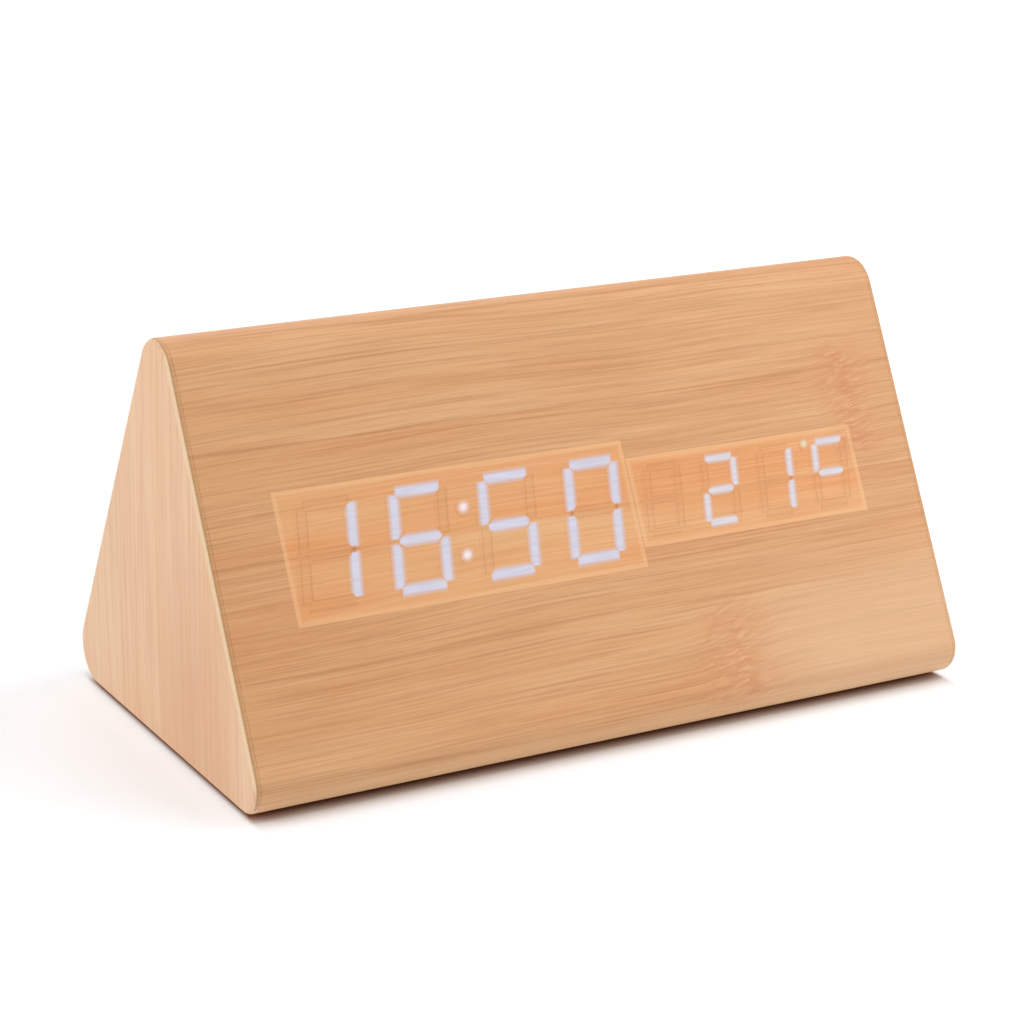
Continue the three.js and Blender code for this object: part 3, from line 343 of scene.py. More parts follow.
def add_floor():
    mesh = bpy.data.meshes.new("floor")
    shape = bmesh.new()
    bmesh.ops.create_grid(shape, x_segments=1, y_segments=1, size=FLOOR_REACH)
    shape.to_mesh(mesh)
    shape.free()
    mesh.materials.append(make_floor_finish())
    add_object("floor", mesh)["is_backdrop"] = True


def light_world():
    scene.world = bpy.data.worlds.new("white studio")
    scene.world.use_nodes = True
    tree = scene.world.node_tree
    background = tree.nodes["Background"].inputs
    fill(background["Color"], (1, 1, 1, 1))
    fill(background["Strength"], spread(straight_to_eye(tree), 0, 1, WORLD_STRENGTH, 1.0))


def add_lamp(name, azimuth, elevation, distance, size, power, colour):
    """A square area lamp that looks at the clock from an azimuth and elevation in degrees."""
    data = bpy.data.lights.new(name, "AREA")
    data.shape = "SQUARE"
    data.size = size
    data.energy = power
    data.color = colour
    away = direction(azimuth, elevation)
    aim = away.to_track_quat("Z", "Y").to_matrix().to_4x4()
    add_object(name, data).matrix_world = at(*(target + away * distance)) @ aim


add_floor()
light_world()
for name, settings in LAMPS.items():
    add_lamp(name, *settings)
print("lamps", list(LAMPS))

# %% [markdown]
# Bamboo grain is a bundle of straight fibres. On a veneer it shows as thin streaks, tenths of a
# millimetre wide and centimetres long, over glued strips about 20 mm wide that differ a little in
# tone, with a reddish seam between them. Noise stretched some sixtyfold along the fibres gives
# the streaks, and a random value per strip its tone. The group takes a grain position in metres,
# with X along the fibres. The sockets' kinds follow from their values: none is a position.

# %% Bamboo grain group
KINDS = {type(None): "NodeSocketVector", tuple: "NodeSocketColor", float: "NodeSocketFloat"}
WHITE = (1.0, 1.0, 1.0, 1.0)
WANDER_SCALE, WANDER = 9.0, 6 * MM
STRIP_TONE, TONE_LEVELS = 0.12, (0.38, 0.74)
LINE_LEVELS, LINE_AMOUNT = (0.5, 0.68), 0.42
FINE_LEVELS, FINE_AMOUNT = (0.48, 0.64), 0.5
SEAM_WIDTH, SEAM_LEVELS = 0.025, (0.42, 0.6)
BRIGHT_LEVELS, BRIGHT_AMOUNT = (0.46, 0.32), 0.3
FIBRE_LEVELS, FIBRE_AMOUNT = (0.55, 0.75), 0.25


def new_group(name, inputs, outputs):
    """A node group with named sockets. Returns it, what it is given and what it puts out."""
    group = bpy.data.node_groups.new(name, "ShaderNodeTree")
    for way, sockets in (("INPUT", inputs), ("OUTPUT", outputs)):
        for label, value in sockets.items():
            kind = KINDS[type(value)]
            socket = group.interface.new_socket(label, in_out=way, socket_type=kind)
            if value is not None:
                socket.default_value = value
    given = group.nodes.new("NodeGroupInput").outputs
    return group, given, group.nodes.new("NodeGroupOutput").inputs


def use_group(group, sockets):
    return derive("ShaderNodeGroup", sockets, node_tree=group)


def make_grain_group():
    group, given, out = new_group("bamboo grain", {
        "Position": None, "Strip Width": 0.02, "Strip Offset": 0.0,
        "Pale": WHITE, "Tan": WHITE, "Streak": WHITE, "Glint": WHITE,
        "Streak Amount": 1.0, "Seam Amount": 0.5,
    }, {"Colour": WHITE, "Height": 0.0})
    along, across, depth = split(given["Position"])
    wander = times_plus(noise(given["Position"], WANDER_SCALE, 1.0), WANDER, across)
    strips = plus(over(across, given["Strip Width"]), given["Strip Offset"])
    tone = derive("ShaderNodeTexWhiteNoise", {"W": floor(strips)}, noise_dimensions="1D")["Value"]
    shifted = plus(along, tone)

    def marks(length, width, roughness=0.5):
        """Noise whose marks are about this long and this wide."""
        longways, sideways = times(shifted, 1 / length), times(wander, 1 / width)
        return noise(join(longways, sideways, times(depth, 1 / width)), roughness=roughness)

    broad, lines = marks(70 * MM, 8 * MM), marks(70 * MM, 0.9 * MM)
    fine, fibres = marks(25 * MM, 0.4 * MM, 0.55), marks(5 * MM, 0.18 * MM)

    warmth = times_plus(tone, STRIP_TONE, broad)
    base = mix_colours(spread(warmth, *TONE_LEVELS), given["Pale"], given["Tan"])
    thick = times(spread(lines, *LINE_LEVELS), LINE_AMOUNT)
    dark = times_plus(spread(fine, *FINE_LEVELS), FINE_AMOUNT, thick)
    streaked = mix_colours(times(dark, given["Streak Amount"]), base, given["Streak"])
    into = fraction(strips)
    seam = spread(smaller(into, minus(1.0, into)), 0.0, SEAM_WIDTH, 1.0, 0.0)
    patchy = times(seam, spread(broad, *SEAM_LEVELS))
    seamed = mix_colours(times(patchy, given["Seam Amount"]), streaked, given["Streak"])
    bright = times(spread(fine, *BRIGHT_LEVELS), BRIGHT_AMOUNT)
    glints = times_plus(spread(fibres, *FIBRE_LEVELS), FIBRE_AMOUNT, bright)
    fill(out["Colour"], mix_colours(glints, seamed, given["Glint"]))
    fill(out["Height"], times_plus(fibres, 0.5, times(fine, 0.5)))
    return group


grain_group = make_grain_group()
print("group", grain_group.name, "with", len(grain_group.nodes), "nodes")

# %% [markdown]
# Where the bamboo cane had a joint, its fibres swirl and redden. Each joint is a ragged spot on
# the face. Inside it the grain position tilts and wobbles, so the streaks bend, and short dashes
# redden or catch the light. The group bends the position before the grain reads it, and puts out
# two masks.

# %% Bamboo joint group
RAGGED_SCALE, SWIRL_SCALE = 170.0, 300.0
RAGGED_ALONG, RAGGED_ACROSS = 9 * MM, 6 * MM
JOINT_TILT = 0.16
JOINT_SWIRL = 0.9 * MM
DASH_SLANT = 0.28
RED_LEVELS, LIGHT_LEVELS = (0.42, 0.6), (0.5, 0.68)


def make_joint_group():
    group, given, out = new_group("bamboo joint", {
        "Position": None, "Along": 0.0, "Across": 0.0, "Length": 0.008, "Width": 0.01,
    }, {"Position": None, "Red": 0.0, "Light": 0.0})
    along, across, depth = split(given["Position"])
    ragged = minus(noise(given["Position"], RAGGED_SCALE, 3.0), 0.5)

    def distance(value, middle, reach, wobble):
        """How far a place is from the joint's middle, as a share of its reach."""
        return over(minus(times_plus(ragged, wobble, value), given[middle]), given[reach])

    sideways = distance(along, "Along", "Length", RAGGED_ALONG)
    upwards = distance(across, "Across", "Width", RAGGED_ACROSS)
    near = times(
        spread(size_of(sideways), 0.05, 1.0, 1.0, 0.0),
        spread(size_of(upwards), 0.65, 1.0, 1.0, 0.0),
    )
    swirl = minus(noise(given["Position"], SWIRL_SCALE, 1.0), 0.5)
    tilt = times(sideways, times(given["Length"], JOINT_TILT))
    pushed = times_plus(times_plus(swirl, JOINT_SWIRL, tilt), near, across)
    slanted = times_plus(along, -DASH_SLANT, pushed)

    def dashes(length, width, levels):
        """Noise in slanted dashes about this long and this wide."""
        return spread(noise(join(times(along, 1 / length), times(slanted, 1 / width))), *levels)

    red = times_plus(dashes(5 * MM, 0.9 * MM, RED_LEVELS), 0.6, 0.4)
    light = dashes(3.6 * MM, 0.6 * MM, LIGHT_LEVELS)
    fill(out["Position"], join(along, pushed, depth))
    fill(out["Red"], times(near, red))
    fill(out["Light"], times(near, light))
    return group


joint_group = make_joint_group()
print("group", joint_group.name, "with", len(joint_group.nodes), "nodes")

# %% [markdown]
# The veneer's grain runs along the clock. Its position is read from the slope: X along the clock
# and the distance up the face across the grain. The rear slope mirrors the front one, so the same
# sums work for both with the sign of Y dropped, and the rear reads another stretch of the same
# grain. One stretch low down is paler. The lower roundings are painted paler than the faces:
# painted light for the light that they miss as they turn downwards. The edges at both ends are a
# little darker.

# %% Bamboo veneer
def grain_tones(*colours):
    """The grain's pale, tan, streak and glint colours."""
    return {name: srgb(*rgb) for name, rgb in zip(("Pale", "Tan", "Streak", "Glint"), colours)}


STRIP_WIDTH = 20.2 * MM
STRIP_OFFSET = 0.77
REAR_SHIFT = 0.4
CANE_JOINTS = [
    {"Along": 62.5 * MM, "Across": 59 * MM, "Length": 7.5 * MM, "Width": 13 * MM},
    {"Along": 26 * MM, "Across": 14 * MM, "Length": 10 * MM, "Width": 12 * MM},
]
JOINT_RED, RED_AMOUNT = srgb(215, 143, 96), 0.9
JOINT_LIGHT, LIGHT_AMOUNT = srgb(246, 196, 156), 0.5
VENEER_TONES = grain_tones((228, 175, 125), (220, 159, 108), (186, 124, 76), (240, 190, 145))
PALE_LENGTH = srgb(238, 196, 156)
PALE_START, PALE_END = (20 * MM, 45 * MM), (100 * MM, 110 * MM)
PALE_CLIMB = (18 * MM, 34 * MM)
# The lower roundings are painted towards this paler colour: painted light for the light that they
# miss.
LOWER_PAINTED_LIGHT = srgb(255, 215, 170)
LOWER_PAINTED_LIGHT_RISE = (1.2 * MM, 6.5 * MM)
EDGE_SHADE = srgb(186, 144, 102)
EDGE_LIMITS = (HALF_LENGTH - 1.1 * MM, HALF_LENGTH - 0.7 * MM)


def slope_position(tree):
    """Grain position on the sloping faces: along, the distance up the slope, the depth inwards."""
    x, y, z = split(object_position(tree))
    inwards = minus(SECTION_WIDTH / 2, size_of(y))
    rise = minus(z, FOOT_PROUD)
    cos, sin = math.cos(FACE_ANGLE), math.sin(FACE_ANGLE)
    climb = times_plus(inwards, cos, times(rise, sin))
    depth = times_plus(inwards, sin, times(rise, -cos))
    return join(times_plus(above(y, 0.0), REAR_SHIFT, x), climb, depth)


def bamboo(position, tones, amount):
    """Colour and height of the veneer's grain, with the front face's two cane joints worked in."""
    reds, lights = [], []
    for joint in CANE_JOINTS:
        bent = use_group(joint_group, {"Position": position, **joint})
        position = bent["Position"]
        reds.append(bent["Red"])
        lights.append(bent["Light"])
    grain = use_group(grain_group, {
        "Position": position, "Strip Width": STRIP_WIDTH, "Strip Offset": STRIP_OFFSET,
        "Streak Amount": amount, **tones,
    })
    red = times(plus(*reds, clamp=True), RED_AMOUNT)
    light = times(plus(*lights, clamp=True), LIGHT_AMOUNT)
    reddened = mix_colours(red, grain["Colour"], JOINT_RED)
    return mix_colours(light, reddened, JOINT_LIGHT), grain["Height"]


def make_veneer_finish():
    material, tree, shader = new_finish("bamboo veneer", 0.48, 0.35)
    position = slope_position(tree)
    colour, height = bamboo(position, VENEER_TONES, 0.6)
    along, climb, _ = split(position)
    stretch = times(spread(along, *PALE_START), spread(along, *PALE_END, 1.0, 0.0))
    pale = times(stretch, spread(climb, *PALE_CLIMB, 0.5, 0.0))
    paled = mix_colours(pale, colour, PALE_LENGTH)
    x, _, rise = split(object_position(tree))
    # Painted light: the lower roundings are painted paler, most near the floor.
    lower_lightened = mix_colours(spread(rise, *LOWER_PAINTED_LIGHT_RISE, 0.66, 0.0), paled, LOWER_PAINTED_LIGHT)
    edge = spread(size_of(x), *EDGE_LIMITS, 0.0, 0.5)
    coat(shader, mix_colours(edge, lower_lightened, EDGE_SHADE), height, 0.3, 0.12 * MM)
    return material


veneer_finish = make_veneer_finish()
print("finish", veneer_finish.name)

# %% [markdown]
# The windows are the same veneer, sanded so thin that the white block behind warms its colour.
# The grain runs straight on through them, so they use the same groups in a more orange tint, with
# a paler border where the film lies on the edge of the block.

# %% Window film
LEFT_MARGIN = 13.9 * MM
RIGHT_MARGIN = 13.5 * MM
DISPLAY_MIDDLE = 45.1 * MM
WINDOW_BORDER = 1.2 * MM
BORDER_SOFTNESS = 0.6
BORDER_AMOUNT = 0.38
TIME_WIDTH, TEMPERATURE_WIDTH = 71.5 * MM, 51.1 * MM
FILM_TONES = grain_tones((238, 183, 129), (236, 163, 105), (208, 136, 78), (250, 196, 144))
FILM_BORDER = srgb(250, 200, 150)
FILM_ROUGHNESS = 0.46

displays = [{
    "name": "time", "width": TIME_WIDTH, "height": 24.3 * MM,
    "middle": -HALF_LENGTH + LEFT_MARGIN + TIME_WIDTH / 2,
    "pitch": 18 * MM, "digit": (9.6 * MM, 17.4 * MM),
    "lit": ["bc", "acdefg", "acdfg", "abcdef"],
    "spots": [(0, 4.3 * MM), (0, -4.3 * MM)],
}, {
    "name": "temperature", "width": TEMPERATURE_WIDTH, "height": 17.2 * MM,
    "middle": HALF_LENGTH - RIGHT_MARGIN - TEMPERATURE_WIDTH / 2,
    "pitch": 12.7 * MM, "digit": (6.6 * MM, 12 * MM),
    "lit": ["", "abdeg", "bc", "afg"],
    "spots": [(13.4 * MM, 6.1 * MM)],
}]


def film_colour(tree, display):
    """Colour and height of the thinned veneer of one window."""
    position = slope_position(tree)
    colour, height = bamboo(position, FILM_TONES, 0.4)
    along, climb, _ = split(position)
    borders = []
    for value, middle, size in (
        (along, display["middle"], display["width"]), (climb, DISPLAY_MIDDLE, display["height"]),
    ):
        limits = (size / 2 - WINDOW_BORDER, size / 2 - WINDOW_BORDER * BORDER_SOFTNESS)
        borders.append(spread(size_of(minus(value, middle)), *limits))
    border = times(larger(*borders), BORDER_AMOUNT)
    return mix_colours(border, colour, FILM_BORDER), height


def make_shade(name, display, shade=None, find_amount=None):
    """The window's film. Where a shade colour is given, its own grain is mixed towards it by an
    amount.
    """
    material, tree, shader = new_finish(f"{display['name']} {name}", FILM_ROUGHNESS, 0.35)
    colour, height = film_colour(tree, display)
    if shade:
        colour = mix_colours(find_amount(tree), colour, shade)
    coat(shader, colour, height, 0.25, 0.1 * MM)
    return material


for display in displays:
    display["film"] = make_shade("window film", display)
print("films", [display["film"].name for display in displays])

# %% [markdown]
# New pieces are made in bmesh. Every piece gets smooth shading with its sharp edges kept, and
# normals weighted by area, so that a wide flat face stays flat where it runs into a rounding. The
# helper also says which body the piece rides on and which node it replaces, and prints its size.

# %% Piece helpers
SHARP = math.radians(35)
WIDE_FACE_WEIGHT = 90
TOUCHING = 1e-7
DOUBLED = 1e-6


def to_mesh(shape, name):
    mesh = bpy.data.meshes.new(name)
    shape.to_mesh(mesh)
    shape.free()
    return mesh


def move(shape, matrix):
    """Moves, turns or scales a whole shape."""
    bmesh.ops.transform(shape, matrix=matrix, verts=shape.verts[:])


def verts_in(geometry):
    return [part for part in geometry if isinstance(part, bmesh.types.BMVert)]


def outwards(shape):
    bmesh.ops.recalc_face_normals(shape, faces=shape.faces[:])


def in_mm(vector, digits=1):
    return [round(value / MM, digits) for value in vector]


def add_piece(name, node_name, mesh, materials, slot, body="casing"):
    """Makes a finished piece from a mesh that is already in place, instead of a node."""
    piece = add_object(name, mesh)
    for material in materials:
        mesh.materials.append(material)
    mesh.shade_smooth()
    mesh.set_sharp_from_angle(angle=SHARP)
    weighted = piece.modifiers.new("weighted normals", "WEIGHTED_NORMAL")
    weighted.keep_sharp = True
    weighted.weight = WIDE_FACE_WEIGHT
    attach(piece, body)
    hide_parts(node_name)
    print(name, in_mm(piece.dimensions, 2), "mm")
    return piece


def cut(mesh, cutter_mesh):
    """The mesh with the cutter's shape taken out of it."""
    block, cutter = add_object("block", mesh), add_object("cutter", cutter_mesh)
    boolean = block.modifiers.new("cut", "BOOLEAN")
    boolean.operation = "DIFFERENCE"
    boolean.solver = "EXACT"
    boolean.object = cutter
    bpy.context.view_layer.update()
    graph = bpy.context.evaluated_depsgraph_get()
    result = bpy.data.meshes.new_from_object(block.evaluated_get(graph))
    for helper in (block, cutter):
        bpy.data.objects.remove(helper)
    return result


def round_edges(shape, edges, offset, segments):
    bmesh.ops.bevel(
        shape, geom=edges, offset=offset, offset_type="OFFSET", affect="EDGES", segments=segments,
        profile=0.5, material=-1, clamp_overlap=True,
    )


print("piece helpers ready")

# %% [markdown]
# The rounded section is drawn by spinning one vertex about the middle of each corner's rounding
# and joining the arcs with straight edges. A spin gives true circular arcs, which a corner bevel
# doesn't on corners that aren't square. The veneer leaves its underside open, and the end panels
# close it.

# %% Rounded section
CORNER_STEPS = 20


def section_corners(inset):
    """Front, rear and apex corner of the section, moved in by a distance."""
    tip = SECTION_HEIGHT - inset / math.sin(HALF_APEX)
    half = (tip - inset) * math.tan(HALF_APEX)
    flat = [(-half, inset), (half, inset), (0, tip)]
    return [Vector((0, y, z + FOOT_PROUD)) for y, z in flat]


def add_section(shape, inset, closed):
    """Draws the rounded section at x = 0 into the shape. Open, it leaves out the underside."""
    corners = section_corners(inset)
    radii = [radius - inset for radius in (FRONT_RADIUS, REAR_RADIUS, APEX_RADIUS)]
    arcs = []
    for index, (corner, radius) in enumerate(zip(corners, radii)):
        incoming = (corner - corners[index - 1]).normalized()
        outgoing = (corners[(index + 1) % 3] - corner).normalized()
        bend = incoming.angle(outgoing)
        start = corner - incoming * radius * math.tan(bend / 2)
        centre = start + Vector((0, -incoming.z, incoming.y)) * radius
        first = shape.verts.new(start)
        spun = bmesh.ops.spin(
            shape, geom=[first], cent=centre, axis=(1, 0, 0), angle=bend, steps=CORNER_STEPS,
            dvec=(0, 0, 0), use_merge=False, use_normal_flip=False, use_duplicate=False,
        )
        arcs.append((first, verts_in(spun["geom_last"])[0]))
    for index, (_, last) in enumerate(arcs):
        if closed or index != 0:
            shape.edges.new((last, arcs[(index + 1) % 3][0]))


trial = bmesh.new()
add_section(trial, 0, True)
print("section has", len(trial.verts), "points and", len(trial.edges), "edges")
trial.free()

# %% [markdown]
# The veneer is one sheet bent round the front, the apex and the rear. The open section is drawn
# out along the clock, the front is cut along the window edges and the windows' faces are taken
# out, and the sheet then gets its thickness inwards. The round holes in the rear are cut last.

# %% Veneer
BUTTON_MIDDLE = 46 * MM
BUTTON_PITCH = 14 * MM
BUTTON_RADIUS = 3 * MM
JACK_ACROSS = 30 * MM
JACK_MIDDLE = 38 * MM
JACK_RADIUS = 3.9 * MM
HOLE_SIDES = 64
HOLE_DEPTH = 6 * MM
SAME_WAY = 0.9999
VENEER_REACH = HALF_LENGTH - END_LIP - JOINT_GAP


def add_rod(shape, radius, depth, place):
    """Adds a round rod about the place's Z axis, for cutting a hole."""
    bmesh.ops.create_cone(
        shape, cap_ends=True, segments=HOLE_SIDES, radius1=radius, radius2=radius, depth=depth,
        matrix=place,
    )


def cut_front(shape, point, direction):
    """Cuts the faces that lie on the front along a line in the front's frame."""
    on_face = [f for f in shape.faces if f.normal.dot(FRONT_OUT) > SAME_WAY]
    edges = {e for f in on_face for e in f.edges}
    verts = {v for f in on_face for v in f.verts}
    bmesh.ops.bisect_plane(
        shape, geom=[*on_face, *edges, *verts], dist=TOUCHING,
        plane_co=FRONT @ Vector(point), plane_no=FRONT.to_3x3() @ Vector(direction),
    )
    shape.normal_update()


def make_veneer_sheet():
    shape = bmesh.new()
    add_section(shape, 0, False)
    drawn = verts_in(bmesh.ops.extrude_edge_only(shape, edges=shape.edges[:])["geom"])
    bmesh.ops.translate(shape, verts=drawn, vec=(2 * VENEER_REACH, 0, 0))
    move(shape, at(-VENEER_REACH, 0, 0))
    outwards(shape)
    if max(f.normal.dot(FRONT_OUT) for f in shape.faces) < SAME_WAY:
        bmesh.ops.reverse_faces(shape, faces=shape.faces[:])
    shape.normal_update()
    windows = [
        (display["middle"], display["width"] / 2 - GLUE_LINE, display["height"] / 2 - GLUE_LINE)
        for display in displays
    ]
    for middle, half_width, half_height in windows:
        for end in (-1, 1):
            cut_front(shape, (middle + end * half_width, 0, 0), (1, 0, 0))
            cut_front(shape, (0, DISPLAY_MIDDLE + end * half_height, 0), (0, 1, 0))
    openings = []
    for face in shape.faces:
        x, y, z = FRONT.inverted() @ face.calc_center_median()
        for middle, half_width, half_height in windows:
            inside = abs(x - middle) < half_width and abs(y - DISPLAY_MIDDLE) < half_height
            if inside and abs(z) < MM / 10:
                openings.append(face)
    bmesh.ops.delete(shape, geom=openings, context="FACES")
    bmesh.ops.solidify(shape, geom=shape.faces[:], thickness=VENEER)
    outwards(shape)
    print("openings", len(openings), "faces", len(shape.faces))
    return to_mesh(shape, "veneer")


def make_round_cutters():
    shape = bmesh.new()
    holes = [(number * BUTTON_PITCH, BUTTON_MIDDLE, BUTTON_RADIUS) for number in (-1, 0, 1)]
    for x, y, radius in [*holes, (JACK_ACROSS, JACK_MIDDLE, JACK_RADIUS)]:
        add_rod(shape, radius + SEAT_GAP, HOLE_DEPTH, REAR @ at(x, y, 0))
    return to_mesh(shape, "cutter")


veneer_mesh = cut(make_veneer_sheet(), make_round_cutters())
add_piece("bamboo_skin", "veneer_wrap", veneer_mesh, [veneer_finish], "bamboo_veneer")

# %% [markdown]
# Each end panel closes the prism. Its lip runs out to the slopes and has a rounded edge. The
# section is filled, drawn out by the lip's thickness and bevelled round its outer edge. A second,
# smaller block behind it is the part that lies under the veneer. The lip's own edge is banded
# with the veneer, so the slopes look like one sheet up to the rounding, as they do in the
# picture. The panel has fine upright grain, a blush low down, and a pale band along the edges of
# its face, which is partly wear and partly a painted highlight on the rounded edge.

# %% End panels
LIP_STEPS = 5
BANDED_TILT = 0.6
END_TONES = grain_tones((250, 210, 172), (246, 197, 154), (222, 168, 126), (252, 222, 190))
END_STRIP = 31 * MM
END_BLUSH = srgb(230, 176, 138)
# The pale band along the end face's edges is partly wear and partly a painted highlight on the
# rounded edge.
END_EDGE_WEAR_AND_HIGHLIGHT = srgb(255, 226, 186)
BLUSH_Y, BLUSH_Z = -16 * MM, 17 * MM
BLUSH_REACH = 22 * MM
BLUSH_FLATNESS = 0.7
EDGE_BAND = 0.7 * MM


def drawn_section(inset, start, end):
    """A closed block of the rounded section between two places along the clock."""
    shape = bmesh.new()
    add_section(shape, inset, True)
    bmesh.ops.edgeloop_fill(shape, edges=shape.edges[:])
    drawn = verts_in(bmesh.ops.extrude_face_region(shape, geom=shape.faces[:])["geom"])
    bmesh.ops.translate(shape, verts=drawn, vec=(end - start, 0, 0))
    move(shape, at(start, 0, 0))
    outwards(shape)
    return shape


def make_end_panel(side):
    lip, face_end = side * (HALF_LENGTH - END_LIP), side * HALF_LENGTH
    shape = drawn_section(0, lip, face_end)
    rim = [e for e in shape.edges if all(abs(v.co.x) > HALF_LENGTH - MM / 10 for v in e.verts)]
    round_edges(shape, rim, END_BEVEL, LIP_STEPS)
    inner = drawn_section(VENEER + GLUE_LINE, side * (HALF_LENGTH - END_THICKNESS), lip)
    shape.from_mesh(to_mesh(inner, "inner"))
    outwards(shape)
    for face in shape.faces:
        x, _, z = face.normal
        face.material_index = int(abs(x) < BANDED_TILT and z > -BANDED_TILT)
    return to_mesh(shape, "end panel")


def make_end_finish():
    material, tree, shader = new_finish("end panel veneer", 0.5, 0.3)
    x, y, z = split(object_position(tree))
    grain = use_group(grain_group, {
        "Position": join(z, y, x), "Strip Width": END_STRIP, "Strip Offset": 0.4,
        "Streak Amount": 0.6, "Seam Amount": 0.1, **END_TONES,
    })
    off_blush = join(minus(y, BLUSH_Y), times(minus(z, BLUSH_Z), BLUSH_FLATNESS))
    blush = spread(length_of(off_blush), 0.0, BLUSH_REACH, 0.65, 0.0)
    blushed = mix_colours(blush, grain["Colour"], END_BLUSH)
    depth = split(slope_position(tree))[2]
    # Pale band along the edges: partly wear, partly a painted highlight.
    band = spread(depth, EDGE_BAND, EDGE_BAND * 1.5, 0.7, 0.0)
    coat(shader, mix_colours(band, blushed, END_EDGE_WEAR_AND_HIGHLIGHT), grain["Height"], 0.2, 0.1 * MM)
    return material


end_finish = make_end_finish()
for side, name in ((-1, "left"), (1, "right")):
    finishes = [end_finish, veneer_finish]
    add_piece(f"{name}_end_board", f"{name}_end_panel", make_end_panel(side), finishes, "end_wood")

# %% [markdown]
# The digits glow through the film from clear light pipes behind it. A painted mask would have no
# edges in the model, so each bar is a flat inlay of six faces, with blunt ends whose inner corner
# is cut off where it meets the next bar. Its UV holds two distances that the finish turns into
# light: in from its side, and back from its end in millimetres. An end's lean says how it runs on
# its inner and outer side, where -1 is back at 45 degrees. Its cut, and the blunt part in the
# middle, are shares of the bar's reach, which is half its width with the halo.

# %% Bars and dots
END_LEAN = {"corner": (-1, 0.1), "middle": (-1, 0), "point": (-1, -1)}
END_CUT = {"corner": 0.2, "middle": 0.24, "point": 0.34}
BLUNT_PART = 0.2
DOT_SIDES = 8
INLAY_PROUD = 0.03 * MM
INLAY_DEPTH = 0.2 * MM


def bar_inlay(ends, length, width, halo):
    """A flat bar along X, outer side up, with blunt ends."""
    reach = width / 2 + halo
    blunt = BLUNT_PART * reach
    shape = bmesh.new()
    bmesh.ops.create_grid(shape, x_segments=2, y_segments=3, size=1)
    glow = shape.loops.layers.uv.new("glow")
    patches = []
    for face in shape.faces:
        middle = face.calc_center_median()
        patches.append((face, 1 if middle.x > 0 else -1, round(middle.y * 1.5)))

    def end_of(end, side, across):
        """How far out the bar ends, at a distance from its middle line."""
        kind = ends[int(end > 0)]
        lean = END_LEAN[kind][int(side > 0)]
        return length / 2 - END_CUT[kind] * reach + lean * max(across - blunt, 0)

    for vert in shape.verts:
        end, side = round(vert.co.x), math.copysign(1, vert.co.y)
        across = reach if abs(vert.co.y) > 0.5 else blunt
        vert.co = (end * end_of(end, side, across), side * across, 0)
    for face, end, side in patches:
        for loop in face.loops:
            across = abs(loop.vert.co.y)
            back = end_of(end, side, across) - loop.vert.co.x * end
            loop[glow].uv = ((reach - across) / (2 * halo), back / MM)
    return shape


def dot_inlay(size, edge):
    """A flat dot with an inset rim, round the origin."""
    shape = bmesh.new()
    bmesh.ops.create_circle(shape, cap_ends=True, segments=DOT_SIDES, radius=size / 2)
    move(shape, turned(180 / DOT_SIDES, "Z"))
    glow = shape.loops.layers.uv.new("glow")
    middle = shape.faces[:][0]
    bmesh.ops.inset_region(
        shape, faces=[middle], thickness=edge, use_boundary=True, use_even_offset=True,
    )
    inner = set(middle.verts)
    for face in shape.faces:
        for loop in face.loops:
            loop[glow].uv = (1.0 if loop.vert in inner else 0.0, 1.0)
    return shape


def lay_in(shape, finish):
    """Turns a flat inlay's faces outwards and gives it its finish and thickness."""
    outwards(shape)
    if shape.faces[:][0].normal.z < 0:
        bmesh.ops.reverse_faces(shape, faces=shape.faces[:])
    for face in shape.faces:
        face.material_index = finish
    shape.normal_update()
    bmesh.ops.solidify(shape, geom=shape.faces[:], thickness=INLAY_DEPTH)
    move(shape, at(0, 0, INLAY_PROUD))
    return shape


print("bar ends", sorted(END_LEAN))

# %% [markdown]
# A display's film is a plain sheet with the inlays let into it. Each of the seven bars is given
# by its middle in a digit of size one, its turn, and the kinds of its left and right end before
# the turn. The digits are sheared to their slant, and the whole film is then laid on the front.
# Where two lit bars stand on each other without a middle bar, a small dark spot is painted over
# the wall between them: painted shade.

# %% Films and light pipes
DIGIT_SLANT = 0.1425
SHEAR = Matrix(((1, DIGIT_SLANT, 0, 0), (0, 1, 0, 0), (0, 0, 1, 0), (0, 0, 0, 1)))
BARS = {
    "a": (0, 0.5, 0, "corner", "corner"), "d": (0, -0.5, 180, "corner", "corner"),
    "b": (0.5, 0.25, -90, "corner", "middle"), "c": (0.5, -0.25, -90, "middle", "corner"),
    "e": (-0.5, -0.25, 90, "corner", "middle"), "f": (-0.5, 0.25, 90, "middle", "corner"),
    "g": (0, 0, 0, "point", "point"),
}
BAR_WIDTH = {"time": 2.06 * MM, "temperature": 1.54 * MM}
BAR_HALO = {"time": 0.5 * MM, "temperature": 0.42 * MM}
DOT_SIZE = {"time": 3.3 * MM, "temperature": 2.5 * MM}
DOT_RIM = 0.32
WALL_SIZE, WALL_RIM = 0.6, 0.24
LIT, UNLIT, DOT, WALL = 1, 2, 3, 4


